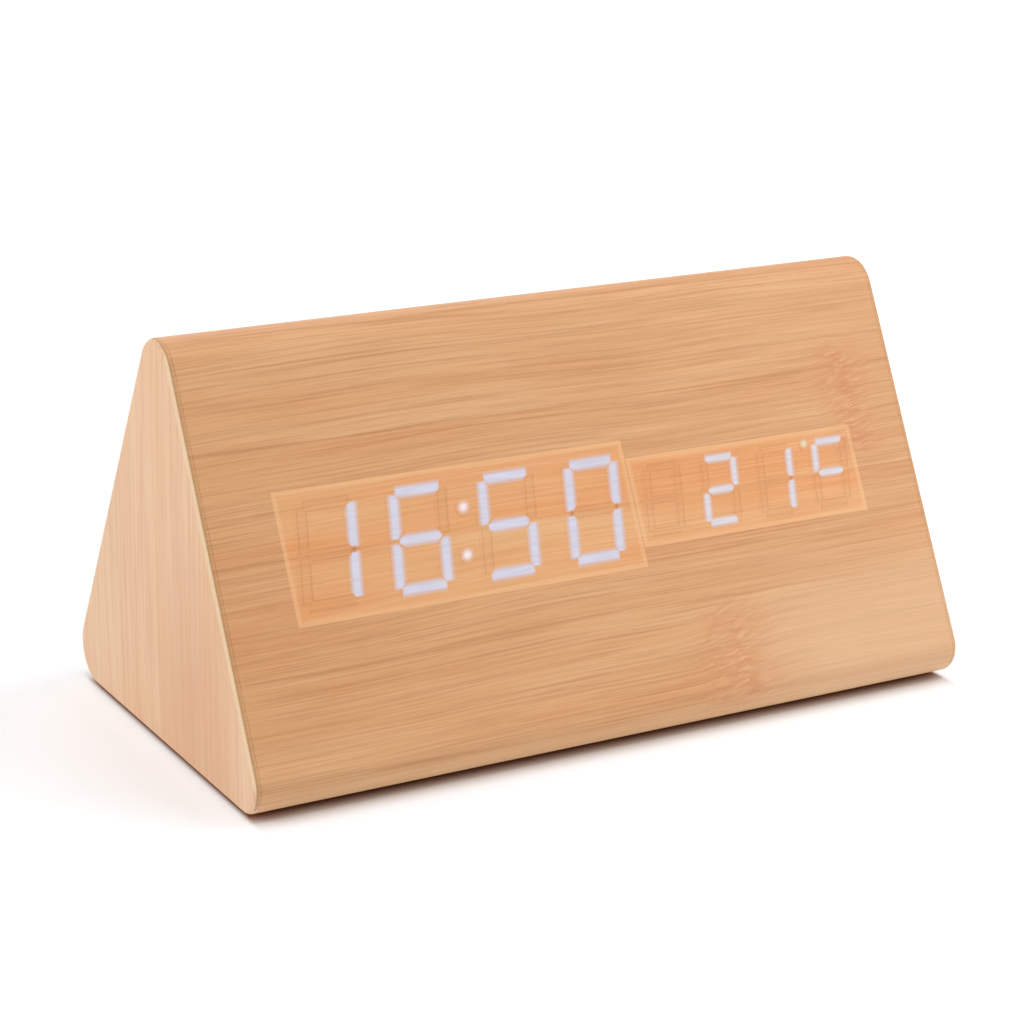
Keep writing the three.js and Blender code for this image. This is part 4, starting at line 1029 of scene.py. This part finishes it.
def inlays(display):
    """A display's inlays and their places: bars, dots, and painted shade between stacked bars."""
    name = display["name"]
    width, height = display["digit"]
    for index, letters in enumerate(display["lit"]):
        offset = (index - (len(display["lit"]) - 1) / 2) * display["pitch"]
        for letter, (across, up, angle, *ends) in BARS.items():
            length = height / 2 if angle % 180 else width
            bar = bar_inlay(ends, length, BAR_WIDTH[name], BAR_HALO[name])
            place = at(offset + across * width, up * height, 0) @ turned(angle, "Z")
            yield lay_in(bar, LIT if letter in letters else UNLIT), place
        # Painted shade over the wall between two stacked lit bars.
        for side, pair in ((0.5, "bc"), (-0.5, "ef")):
            if set(pair) <= set(letters) and "g" not in letters:
                wall = dot_inlay(BAR_WIDTH[name] * WALL_SIZE, BAR_WIDTH[name] * WALL_RIM)
                yield lay_in(wall, WALL), at(offset + side * width, 0, INLAY_PROUD)
    for across, up in display["spots"]:
        dot = dot_inlay(DOT_SIZE[name], DOT_SIZE[name] * DOT_RIM)
        yield lay_in(dot, DOT), at(across, up, INLAY_PROUD)


def make_film(display):
    shape = bmesh.new()
    bmesh.ops.create_grid(shape, x_segments=1, y_segments=1, size=0.5)
    width, height = (display[size] - 2 * GLUE_LINE for size in ("width", "height"))
    move(shape, Matrix.Diagonal((width, height, 1, 1)))
    bmesh.ops.solidify(shape, geom=shape.faces[:], thickness=VENEER)
    for inlay, place in inlays(display):
        move(inlay, SHEAR @ place)
        shape.from_mesh(to_mesh(inlay, "inlay"))
    move(shape, FRONT @ at(display["middle"], DISPLAY_MIDDLE, 0))
    print(display["name"], "film has", len(shape.faces), "faces")
    return to_mesh(shape, f"{display['name']} film")


def merged_copy(node_name):
    """A bmesh of a node of the solid model, with its doubled points merged."""
    shape = bmesh.new()
    shape.from_mesh(nodes[node_name].data)
    bmesh.ops.remove_doubles(shape, verts=shape.verts[:], dist=DOUBLED)
    return shape


def make_pipes(display):
    """The light pipes end behind the film."""
    shape = merged_copy(f"{display['name']}_light_guide")
    to_front = FRONT.inverted()
    tops = [v for v in shape.verts if (to_front @ v.co).z > -MM / 10]
    bmesh.ops.translate(shape, verts=tops, vec=-FRONT_OUT * (VENEER + GLUE_LINE))
    return to_mesh(shape, f"{display['name']} pipes")


for display in displays:
    display["film mesh"], display["pipes mesh"] = make_film(display), make_pipes(display)

# %% [markdown]
# A lit bar is lavender white and fades softly into the film at its sides, because the film
# spreads the light. It is dimmer at its ends. An unlit bar is only a pair of faint lines, and over
# the walls between lit bars the film is painted a little darker: painted shade. All of them keep
# the film's own grain, and the lit ones give out their light as emission, so the lamps hardly
# change them.

# %% Digits in the film
SIDE_LEVELS = (0.4, 1.05)
SEAM_REACH, SEAM_LIGHT = 0.4, 0.45
FIBRE_SCALE = (150, 1800, 0)
BEHIND_LIGHT = srgb(40, 34, 40)
BLACK = (0.0, 0.0, 0.0, 1.0)
GHOST_TINT, GHOST_LINES, GHOST_FILL = srgb(176, 104, 58), 0.24, 0.07
LINE_PLACE, LINE_REACH = 0.6, 0.3
# The film over a wall between lit bars is painted darker: painted shade.
WALL_PAINTED_SHADE, WALL_AMOUNT = srgb(150, 84, 62), 0.55
BAR_GLOWS = {
    "time": (srgb(211, 209, 224), srgb(200, 197, 213), srgb(200, 190, 198)),
    "temperature": (srgb(222, 216, 220), srgb(208, 200, 208), srgb(204, 190, 192)),
}
DOT_GLOWS = {
    "time": (srgb(246, 228, 228), srgb(236, 216, 218), srgb(220, 190, 180)),
    "temperature": (srgb(232, 216, 184), srgb(224, 204, 170), srgb(220, 184, 140)),
}


def inlay_values(tree):
    """The inlay's UV: 0 at its side to 1 and more inside, and the distance back from its end."""
    return split(add_node(tree, "ShaderNodeUVMap", uv_map="glow").outputs["UV"])[:2]


def make_glow(name, display, bright, soft, edge):
    """A glowing inlay: the film's grain shows faintly in it, and its sides fade into the film."""
    material, tree, shader = new_finish(f"{display['name']} {name}", FILM_ROUGHNESS, 0.3)
    fibre = spread(noise(scaled(slope_position(tree), FIBRE_SCALE)), 0.35, 0.68)
    inside, back = inlay_values(tree)
    light = mix_colours(fibre, bright, soft)
    rimmed = mix_colours(spread(inside, *SIDE_LEVELS), edge, light)
    strength = times(spread(inside, 0.0, 1.0), spread(back, 0.0, SEAM_REACH, SEAM_LIGHT, 1.0))
    fill(shader.inputs["Emission Color"], mix_colours(strength, BLACK, rimmed))
    fill(shader.inputs["Emission Strength"], 1.0)
    colour, height = film_colour(tree, display)
    coat(shader, mix_colours(strength, colour, BEHIND_LIGHT), height, 0.25, 0.1 * MM)
    return material


def unlit_amount(tree):
    """Faint lines along an unlit bar's sides and ends, and a slight tint between them."""
    inside, back = inlay_values(tree)
    sides = spread(size_of(minus(inside, LINE_PLACE)), 0.0, LINE_REACH, 1.0, 0.0)
    within = spread(inside, 0.5, 0.7)
    ends = times(spread(back, 0.0, 0.25, 0.6, 0.0), within)
    return times_plus(within, GHOST_FILL, times(larger(sides, ends), GHOST_LINES))


# How much painted shade lies over a wall between lit bars.
def wall_amount(tree):
    return spread(inlay_values(tree)[0], 0.0, 1.0, 0.0, WALL_AMOUNT)


def make_clear_plastic():
    material, tree, shader = new_finish("clear pipe plastic", 0.3)
    mist = noise(object_position(tree), 400.0, 3.0)
    colour = mix_colours(mist, srgb(214, 208, 200), srgb(196, 188, 180))
    fill(shader.inputs["Base Color"], colour)
    return material


clear_plastic = make_clear_plastic()
for display in displays:
    name, film, pipes = (display[key] for key in ("name", "film mesh", "pipes mesh"))
    finishes = [
        display["film"],
        make_glow("lit bar", display, *BAR_GLOWS[name]),
        make_shade("unlit bar", display, GHOST_TINT, unlit_amount),
        make_glow("lit dot", display, *DOT_GLOWS[name]),
        make_shade("painted shade between bars", display, WALL_PAINTED_SHADE, wall_amount),
    ]
    add_piece(f"{name}_film", f"{name}_window", film, finishes, "window_veneer")
    add_piece(f"{name}_light_pipes", f"{name}_light_guide", pipes, [clear_plastic], "light_guide")

# %% [markdown]
# Moulded plastic, rubber, raw board and plated steel all have a fine, uneven surface. One group
# mixes two colours by a coarse and a fine noise and puts out the same mottle as a height. Each
# finish uses it at its own scale, so a switch has a tight satin texture and the board has visible
# flakes.

# %% Mottled finishes
FINE = 0.04 * MM
UNEVEN = 0.07


def make_mottle_group():
    group, given, out = new_group("fine mottle", {
        "Position": None, "Scale": 1000.0, "Pale": WHITE, "Deep": WHITE,
    }, {"Colour": WHITE, "Height": 0.0})
    coarse = noise(given["Position"], times(given["Scale"], 0.2), 2.0)
    fine = noise(given["Position"], given["Scale"], 3.0, 0.6)
    height = times_plus(coarse, 0.35, times(fine, 0.65))
    fill(out["Colour"], mix_colours(spread(height, 0.35, 0.65), given["Deep"], given["Pale"]))
    fill(out["Height"], height)
    return group


mottle_group = make_mottle_group()


def mottled(name, pale, deep, scale, roughness, bump=FINE, specular=0.5, metallic=0.0):
    """A finish of two close colours, with its roughness and bump from the same mottle."""
    material, tree, shader = new_finish(name, roughness, specular)
    mottle = use_group(mottle_group, {
        "Position": object_position(tree), "Scale": scale,
        "Pale": srgb(*pale), "Deep": srgb(*deep),
    })
    height = mottle["Height"]
    uneven = spread(height, 0.3, 0.7, roughness - UNEVEN, roughness + UNEVEN)
    fill(shader.inputs["Roughness"], uneven)
    fill(shader.inputs["Metallic"], metallic)
    coat(shader, mottle["Colour"], height, 0.4, bump)
    return material


board = mottled("raw board", (186, 148, 106), (150, 114, 78), 900, 0.82, 2 * FINE, 0.2)
white_plastic = mottled("white plastic", (236, 234, 228), (222, 219, 211), 1500, 0.5)
black_plastic = mottled("black plastic", (46, 45, 44), (31, 30, 30), 2600, 0.5, FINE, 0.4)
button_plastic = mottled("button plastic", (58, 54, 50), (42, 39, 36), 3000, 0.42, FINE, 0.45)
rubber = mottled("foot rubber", (52, 51, 50), (36, 35, 35), 3200, 0.78, 2 * FINE, 0.25)
screw_steel = mottled("zinc steel", (196, 198, 200), (158, 160, 164), 2400, 0.34, metallic=1.0)
contact_steel = mottled("nickel steel", (214, 209, 198), (182, 177, 166), 1800, 0.28, metallic=1.0)
red_wire = mottled("red wire", (196, 44, 38), (168, 32, 28), 1600, 0.44)
black_wire = mottled("black wire", (44, 43, 43), (30, 29, 29), 1600, 0.44)
grey_wire = mottled("grey wire", (216, 215, 212), (196, 194, 190), 1600, 0.5)
print("finishes so far", len(bpy.data.materials))

# %% [markdown]
# A circuit board is green solder mask over copper. The copper tracks under it show as paler green
# lines, and the open pads are tinned. Two brick patterns give the tracks, as their joints run
# straight and step sideways the way tracks do, and noise leaves some of them out. Round cells
# give the pads.

# %% Circuit board
TRACK_PITCH = 1.6 * MM
TRACKS = ((TRACK_PITCH, 0.5), (TRACK_PITCH * 2.3, 0.31))
PAD_PITCH = 3.1 * MM
MASK_PALE, MASK_DEEP = srgb(38, 116, 70), srgb(26, 96, 56)
TRACK_GREEN = srgb(70, 146, 92)
TINNED = srgb(204, 202, 196)


def make_board_finish():
    material, tree, shader = new_finish("circuit board", 0.34, 0.5)
    position = slope_position(tree)
    flat = scaled(position, (1, 1, 0))
    tracks = [
        derive("ShaderNodeTexBrick", {
            "Vector": flat, "Scale": 0.5 / pitch, "Mortar Size": 0.05, "Mortar Smooth": 0.1,
        }, offset=offset)["Fac"]
        for pitch, offset in TRACKS
    ]
    track = times(larger(*tracks), spread(noise(position, 120.0, 1.0), 0.45, 0.5))
    mottle = use_group(mottle_group, {
        "Position": position, "Scale": 1200.0, "Pale": MASK_PALE, "Deep": MASK_DEEP,
    })
    masked = mix_colours(track, mottle["Colour"], TRACK_GREEN)
    cells = {"Vector": flat, "Scale": 1 / PAD_PITCH, "Randomness": 0.4}
    pad = spread(derive("ShaderNodeTexVoronoi", cells)["Distance"], 0.15, 0.18, 1.0, 0.0)
    fill(shader.inputs["Metallic"], pad)
    coat(shader, mix_colours(pad, masked, TINNED), larger(track, pad), 0.5, FINE)
    return material


circuit_board = make_board_finish()
print("finish", circuit_board.name)

# %% [markdown]
# The pieces inside the case are seen through no opening, or only past the buttons and the battery
# door. Their shapes in the solid model are right, so they stay and only get their finishes.

# %% Dressing the solid model's pieces
dressed = {
    board: ["case_shell", "base_panel"],
    white_plastic: [
        "time_reflector", "temperature_reflector", "board_spacer_left", "board_spacer_right",
        "set_plunger", "up_plunger", "down_plunger",
    ],
    black_plastic: [
        "set_switch", "up_switch", "down_switch", "controller_chip", "filter_capacitor", "buzzer",
        "temperature_sensor",
    ],
    circuit_board: ["display_board", "main_board"],
    screw_steel: [
        "board_screw_left", "board_screw_right", *[f"display_screw_{number}" for number in FOUR],
    ],
    contact_steel: ["clock_crystal", "microphone"],
}
for material, names in dressed.items():
    for name in names:
        for slot in nodes[name].material_slots:
            slot.material = material
print("dressed", sum(len(names) for names in dressed.values()), "nodes")

# %% [markdown]
# Turned pieces come from a lathe: a profile of radius and height is drawn on one side of the axis
# and spun about it. Real edges are never sharp, so each corner of a profile may ask for a
# rounding, which is drawn as a short curve before the spin.

# %% Lathe
ROUNDING_STEPS = 4
LATHE_STEPS = 64


def rounded_profile(points):
    """Turns (radius, height, rounding) points in millimetres into profile points in metres."""
    result = []
    for index, (radius, height, rounding) in enumerate(points):
        corner = Vector((radius, height))
        if not rounding:
            result.append(corner * MM)
            continue
        before = (Vector(points[index - 1][:2]) - corner).normalized() * rounding
        after = (Vector(points[index + 1][:2]) - corner).normalized() * rounding
        for step in range(ROUNDING_STEPS + 1):
            share = step / ROUNDING_STEPS
            result.append((corner + before * (1 - share) ** 2 + after * share ** 2) * MM)
    return result


def lathe(points, place):
    """Spins a profile about Z and moves it to its place."""
    shape = bmesh.new()
    verts = [shape.verts.new((point.x, 0, point.y)) for point in rounded_profile(points)]
    edges = [shape.edges.new(pair) for pair in zip(verts, verts[1:])]
    bmesh.ops.spin(
        shape, geom=[*verts, *edges], cent=(0, 0, 0), axis=(0, 0, 1), angle=2 * math.pi,
        steps=LATHE_STEPS, dvec=(0, 0, 0), use_merge=True, use_normal_flip=False,
        use_duplicate=False,
    )
    bmesh.ops.remove_doubles(shape, verts=shape.verts[:], dist=TOUCHING)
    outwards(shape)
    move(shape, place)
    return shape


def box_middle(node_name):
    low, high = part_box(node_name)
    return (Vector(low) + Vector(high)) / 2


def over_floor(node_name):
    """The place on the ground under the middle of a node."""
    middle = box_middle(node_name)
    return at(middle.x, middle.y, 0)


print("lathe ready")

# %% [markdown]
# Four rubber feet are let into the base. A moulded foot has a softly rounded rim, a slight taper
# that frees it from its mould, and a shallow dish in the middle, so it grips on a ring.

# %% Rubber feet
FOOT_PROFILE = [
    (0, 0.25, 0), (2.2, 0.25, 0.4), (2.6, 0, 0.3), (4.85, 0, 0.45), (5, 2.3, 0.15), (4.85, 2.4, 0),
    (0, 2.4, 0),
]

for number in FOUR:
    name = f"rubber_foot_{number}"
    foot = to_mesh(lathe(FOOT_PROFILE, over_floor(name)), name)
    add_piece(f"grip_foot_{number}", name, foot, [rubber], "foot_rubber")

# %% [markdown]
# The base is held by countersunk screws with a cross recess. The head and the shank are turned,
# and the recess is cut by two crossed wedges, since a driver's tip is a tapered cross.

# %% Base screws
HEAD_FACE = 1.8
SCREW_PROFILE = [
    (0, HEAD_FACE, 0), (2.7, HEAD_FACE, 0.12), (1.25, HEAD_FACE + 1.6, 0.2),
    (1.25, HEAD_FACE + 5.4, 0.2), (0, HEAD_FACE + 6.5, 0),
]
SCREW_TURN = 20
RECESS_ARM = 1.55 * MM
RECESS_WIDTH = 0.4 * MM
RECESS_DEPTH = 1.1 * MM
RECESS_TAPER = 0.35


def recess_wedge(place):
    """One tapered wedge of the cross, open downwards."""
    shape = bmesh.new()
    corner = math.sqrt(2)
    bmesh.ops.create_cone(
        shape, cap_ends=True, segments=4, radius1=corner, radius2=RECESS_TAPER * corner,
        depth=2 * RECESS_DEPTH, matrix=turned(45, "Z"),
    )
    move(shape, Matrix.Diagonal((RECESS_ARM, RECESS_WIDTH, 1, 1)))
    move(shape, place)
    return to_mesh(shape, "wedge")


for number in FOUR:
    name = f"base_screw_{number}"
    place = over_floor(name)
    screw = to_mesh(lathe(SCREW_PROFILE, place), name)
    for angle in (SCREW_TURN * number, SCREW_TURN * number + 90):
        screw = cut(screw, recess_wedge(place @ at(0, 0, HEAD_FACE * MM) @ turned(angle, "Z")))
    add_piece(f"cross_screw_{number}", name, screw, [screw_steel], "screw_steel")

# %% [markdown]
# Three small buttons stand out of the rear face, and behind the board each has a wide flange that
# stops it falling out. The finger face is dished and its rim is rounded. A lathe makes the whole
# button, stood on the rear face's frame, and it rides on its own body, so it moves when pressed.

# %% Buttons
BUTTON_PROFILE = [
    (0, 0.86, 0), (1.4, 0.92, 0.5), (2.35, 1.2, 0.25), (3, 1.2, 0.5), (3, -5.9, 0.1),
    (4.3, -5.9, 0.25), (4.3, -6.9, 0.25), (0, -6.9, 0),
]

for name in ("set", "up", "down"):
    node_name = f"{name}_button"
    place = REAR @ at(-box_middle(node_name).x, BUTTON_MIDDLE, 0)
    key = to_mesh(lathe(BUTTON_PROFILE, place), name)
    add_piece(f"{name}_key", node_name, key, [button_plastic], "black_plastic", node_name)

# %% [markdown]
# The power socket is a moulded barrel with a pin in the middle, on a square housing behind the
# board. The barrel's bore and its pin are one profile. The housing is a rounded block, bored so
# that it doesn't close the barrel.

# %% Power socket
BORE_FLOOR = -10
JACK_PROFILE = [
    (0, -1.4, 0), (1.05, -1.4, 0.4), (1.05, BORE_FLOOR, 0), (2.85, BORE_FLOOR, 0),
    (2.85, -0.4, 0.3), (3.9, -0.4, 0.3), (3.9, -11.7, 0), (0, -11.7, 0),
]
HOUSING = (9 * MM, 9 * MM, 5.9 * MM)
HOUSING_MIDDLE = -8.85 * MM
HOUSING_ROUNDING = 0.4 * MM
BORE_DEPTH = 12 * MM
BORE_MIDDLE = -5.5 * MM
PIN_RADIUS = 1.3 * MM


def rounded_block(size, place, rounding):
    """A block with rounded edges."""
    shape = bmesh.new()
    bmesh.ops.create_cube(shape, size=1)
    move(shape, Matrix.Diagonal((*size, 1)))
    round_edges(shape, shape.edges[:], rounding, 2)
    move(shape, place)
    return shape


jack_place = REAR @ at(JACK_ACROSS, JACK_MIDDLE, 0)
housing = rounded_block(HOUSING, jack_place @ at(0, 0, HOUSING_MIDDLE), HOUSING_ROUNDING)
bore = bmesh.new()
add_rod(bore, JACK_RADIUS, BORE_DEPTH, jack_place @ at(0, 0, BORE_MIDDLE))
jack = lathe(JACK_PROFILE, jack_place)
for face in jack.faces:
    spot = jack_place.inverted() @ face.calc_center_median()
    is_pin = spot.to_2d().length < PIN_RADIUS and spot.z > BORE_FLOOR * MM
    face.material_index = int(is_pin)
jack.from_mesh(cut(to_mesh(housing, "housing"), to_mesh(bore, "bore")))
finishes = [black_plastic, contact_steel]
add_piece("power_socket", "dc_jack", to_mesh(jack, "socket"), finishes, "black_plastic")

# %% [markdown]
# The battery box and its door are mouldings, whose edges are all a little rounded. Their shapes
# come from the solid model: its triangles are merged back into flat faces, and the sharp edges
# are bevelled by a quarter of a millimetre. The door rides on its own body and swings about its
# rear edge.

# %% Battery box and door
MOULDED_ROUNDING = 0.25 * MM
FLAT = math.radians(1)


def add_moulding(name, node_name, body):
    """A node of the solid model with its flat faces whole again and its edges rounded."""
    shape = merged_copy(node_name)
    bmesh.ops.dissolve_limit(
        shape, angle_limit=FLAT, use_dissolve_boundaries=False, verts=shape.verts[:],
        edges=shape.edges[:],
    )
    mesh = to_mesh(shape, node_name)
    piece = add_piece(name, node_name, mesh, [black_plastic], "black_plastic", body)
    bevel = piece.modifiers.new("moulded edges", "BEVEL")
    bevel.width = MOULDED_ROUNDING
    bevel.segments = 2
    bevel.limit_method = "ANGLE"
    bevel.angle_limit = SHARP
    bevel.harden_normals = False
    piece.modifiers.move(1, 0)


add_moulding("cell_tray", "battery_box", "casing")
add_moulding("tray_door", "battery_door", "battery_door")

# %% [markdown]
# A dry cell is a steel can in a printed sleeve. The sleeve folds over the can's edge at both
# ends, the positive end has a raised nub and the negative end is a flat disc in a groove. One
# profile gives all of it, and faces take the sleeve, the coloured band or bare steel by where
# they lie on the can. Neighbouring cells lie opposite ways round.

# %% Battery cells
CELL_AXIS = 8.95 * MM
CELL_BASE = 20.05 * MM
CELL_PROFILE = [
    (0, 0.05, 0), (3.4, 0.05, 0.15), (3.55, 0.3, 0.1), (4.2, 0.3, 0.1), (4.4, 0, 0.15),
    (5.1, 0, 0.3), (5.25, 0.8, 0.3), (5.25, 32.5, 0), (5.25, 43.2, 0.4), (4.6, 43.7, 0.25),
    (4.1, 43.7, 0.1), (3.95, 43.35, 0.1), (2.2, 43.45, 0.2), (1.9, 43.8, 0.1), (1.9, 44.5, 0.25),
    (0, 44.5, 0),
]
SLEEVE_RADIUS = 4.45 * MM
BAND_START = 32.4 * MM
SLEEVE, BAND, BARE = 0, 1, 2
sleeve = mottled("cell sleeve", (206, 208, 210), (188, 190, 193), 700, 0.36)
band = mottled("cell band", (40, 78, 128), (30, 64, 110), 700, 0.34)

for number in FOUR:
    name = f"battery_cell_{number}"
    side = 1 if number % 2 else -1
    cell = lathe(CELL_PROFILE, Matrix.Identity(4))
    for face in cell.faces:
        spot = face.calc_center_median()
        wrapped = BAND if spot.z > BAND_START else SLEEVE
        face.material_index = wrapped if spot.to_2d().length > SLEEVE_RADIUS else BARE
    move(cell, at(-side * CELL_BASE, box_middle(name).y, CELL_AXIS) @ turned(side * 90, "Y"))
    finishes = [sleeve, band, screw_steel]
    add_piece(f"dry_cell_{number}", name, to_mesh(cell, name), finishes, "cell_jacket")

# %% [markdown]
# Springs, leads and the flat cable are round wires. A wire's path is drawn as a curve, the
# curve's own bevel gives it a round section with closed ends, and it is then made a mesh. Each
# wire of a bundle takes the next material of its piece.

# %% Wires


def wire_mesh(name, splines, radius, sides=2):
    """A round wire along each list of points, as one mesh."""
    curve = bpy.data.curves.new(name, "CURVE")
    curve.dimensions = "3D"
    curve.bevel_depth = radius
    curve.bevel_resolution = sides
    curve.use_fill_caps = True
    for index, points in enumerate(splines):
        spline = curve.splines.new("POLY")
        spline.points.add(len(points) - 1)
        spline.material_index = index
        for point, place in zip(spline.points, points):
            point.co = (*place, 1)
    helper = add_object(name, curve)
    bpy.context.view_layer.update()
    mesh = bpy.data.meshes.new_from_object(helper)
    bpy.data.objects.remove(helper)
    return mesh


print("wire helper ready")

# %% [markdown]
# The contacts are stamped nickel-plated steel. A plate carries a tapered spring at each negative
# end and a raised dimple at each positive end, and the two end plates have a tab for a lead. The
# plate is a rounded block with its notch cut out, the spring is one wire, and the dimple is a
# flat sphere sunk into the plate. Each contact is given by its end of the bay, the rows of its
# spring and its dimple, and whether it has a tab.

# %% Battery contacts
BAY_HALF = 25.15 * MM
PLATE = 0.4 * MM
PLATE_SIZE = 7.6 * MM
PLATE_FOOT = 5.2 * MM
PLATE_TOP = 12.7 * MM
PLATE_RISE = PLATE_TOP - PLATE_FOOT
CELL_PITCH = 11.2 * MM
CELL_ROWS = [(number - 2.5) * CELL_PITCH for number in FOUR]
SPRING_BASE, SPRING_TIP = 3.15 * MM, 2 * MM
SPRING_LENGTH = 4.2 * MM
SPRING_WIRE = 0.3 * MM
SPRING_CURLS = 3.5
CURL_STEPS = 24
DIMPLE = (0.24 * MM, 1.5 * MM, 1.5 * MM)
TAB_WIDTH = 2.6 * MM
TAB_TOP = 17.8 * MM
TAB_RISE = TAB_TOP - PLATE_TOP + PLATE
CONTACTS = {
    "negative_contact": (-1, CELL_ROWS[0], None, True),
    "bridge_contact_1": (1, CELL_ROWS[1], CELL_ROWS[0], False),
    "bridge_contact_2": (-1, CELL_ROWS[2], CELL_ROWS[1], False),
    "bridge_contact_3": (1, CELL_ROWS[3], CELL_ROWS[2], False),
    "positive_contact": (-1, None, CELL_ROWS[3], True),
}


def spring_points(side, y):
    """A tapered spring from the plate at one end of the bay towards the cell."""
    steps = int(SPRING_CURLS * CURL_STEPS)
    points = []
    for step in range(steps + 1):
        share = step / steps
        angle = 2 * math.pi * SPRING_CURLS * share
        radius = SPRING_BASE + (SPRING_TIP - SPRING_BASE) * share
        reach = BAY_HALF - PLATE - SPRING_WIRE - (SPRING_LENGTH - SPRING_WIRE) * share
        points.append((
            side * reach, y + radius * math.cos(angle), CELL_AXIS + radius * math.sin(angle),
        ))
    return points


def plate_block(size, place):
    return to_mesh(rounded_block(size, place, PLATE / 4), "plate")


def make_contact(side, spring_y, dimple_y, tab):
    ys = [y for y in (spring_y, dimple_y) if y is not None]
    x = side * (BAY_HALF - PLATE / 2)
    place = at(x, (max(ys) + min(ys)) / 2, (PLATE_FOOT + PLATE_TOP) / 2)
    plate = plate_block((PLATE, max(ys) - min(ys) + PLATE_SIZE, PLATE_RISE), place)
    if len(ys) == 2:
        notch = (4 * PLATE, CELL_PITCH - PLATE_SIZE, PLATE_RISE)
        cutter = rounded_block(notch, place @ at(0, 0, PLATE_SIZE / 2), PLATE / 2)
        plate = cut(plate, to_mesh(cutter, "notch"))
    shape = bmesh.new()
    shape.from_mesh(plate)
    if spring_y is not None:
        shape.from_mesh(wire_mesh("spring", [spring_points(side, spring_y)], SPRING_WIRE))
    if dimple_y is not None:
        place = at(side * (BAY_HALF - PLATE), dimple_y, CELL_AXIS) @ Matrix.Diagonal((*DIMPLE, 1))
        bmesh.ops.create_uvsphere(shape, u_segments=24, v_segments=12, radius=1, matrix=place)
    if tab:
        tab_place = at(x, ys[0], TAB_TOP - TAB_RISE / 2)
        shape.from_mesh(plate_block((PLATE, TAB_WIDTH, TAB_RISE), tab_place))
    for face in shape.faces:
        face.material_index = 0
    return to_mesh(shape, "contact")


for name, settings in CONTACTS.items():
    add_piece(f"{name}_strip", name, make_contact(*settings), [contact_steel], "contact_steel")

# %% [markdown]
# Two leads run from the tabs to the main board, and a flat cable joins the two boards. A lead
# leaves its tab upwards and meets the board squarely, so its path is one smooth cubic between two
# points and two directions. Each lead is given by its finish, its slot, its cell's row and the
# place of its hole as a share of the board's length. A real flat cable is a row of thin insulated
# wires welded side by side, so it is made as that row: twelve wires, the first one red.

# %% Leads and flat cable
LEAD_RADIUS = 0.65 * MM
LEAD_REACH = 5 * MM
LEAD_LIFT = 0.3 * MM
LEAD_DROP = 10.8 * MM
BOARD_LENGTH = 86 * MM
BOARD_MIDDLE = 40.5 * MM
BOARD_BACK = 14 * MM
CABLE_SHARE = 0.26
CABLE_WIRES = 12
CABLE_PITCH = 1 * MM
CABLE_RADIUS = 0.46 * MM
CABLE_REACH = 10 * MM
CABLE_END_DEPTH = 11.2 * MM
PATH_STEPS = 32
LEADS = {
    "positive": (red_wire, "red_wire", CELL_ROWS[3], 0.31),
    "negative": (black_wire, "black_wire", CELL_ROWS[0], 0.2),
}


def smooth_path(start, start_pull, end, end_pull):
    """Points of a cubic from start to end that leaves and arrives along the two pulls."""
    handles = (start, start + start_pull, end + end_pull, end)
    points = []
    for step in range(PATH_STEPS + 1):
        share = step / PATH_STEPS
        rest = 1 - share
        weights = (rest ** 3, 3 * rest ** 2 * share, 3 * rest * share ** 2, share ** 3)
        points.append(sum((weight * handle for weight, handle in zip(weights, handles)), Vector()))
    return points


for pole, (finish, slot, row, share) in LEADS.items():
    start = Vector((-BAY_HALF + PLATE / 2, row, TAB_TOP + LEAD_LIFT))
    hole = REAR @ Vector((share * BOARD_LENGTH, BOARD_MIDDLE - LEAD_DROP, -BOARD_BACK))
    path = smooth_path(start, Vector((0, 0, LEAD_REACH)), hole, -REAR_OUT * LEAD_REACH)
    mesh = wire_mesh(f"{pole} lead", [path], LEAD_RADIUS, 4)
    add_piece(f"{pole}_lead", f"battery_lead_{pole}", mesh, [finish], slot)

strands = []
for number in range(CABLE_WIRES):
    across = CABLE_SHARE * BOARD_LENGTH + (number - (CABLE_WIRES - 1) / 2) * CABLE_PITCH
    start = REAR @ Vector((across, BOARD_MIDDLE, -BOARD_BACK))
    end = FRONT @ Vector((-across, DISPLAY_MIDDLE, -CABLE_END_DEPTH))
    strands.append(smooth_path(start, -REAR_OUT * CABLE_REACH, end, -FRONT_OUT * CABLE_REACH))
cable = wire_mesh("flat cable", strands, CABLE_RADIUS, 3)
finishes = [red_wire, *[grey_wire] * (CABLE_WIRES - 1)]
add_piece("flat_cable", "ribbon_cable", cable, finishes, "white_wire")

# %% Sizes for comparison
boxes = {"cad": cad_box, "visual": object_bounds()}
{name: [list(corner) for corner in box] for name, box in boxes.items()}
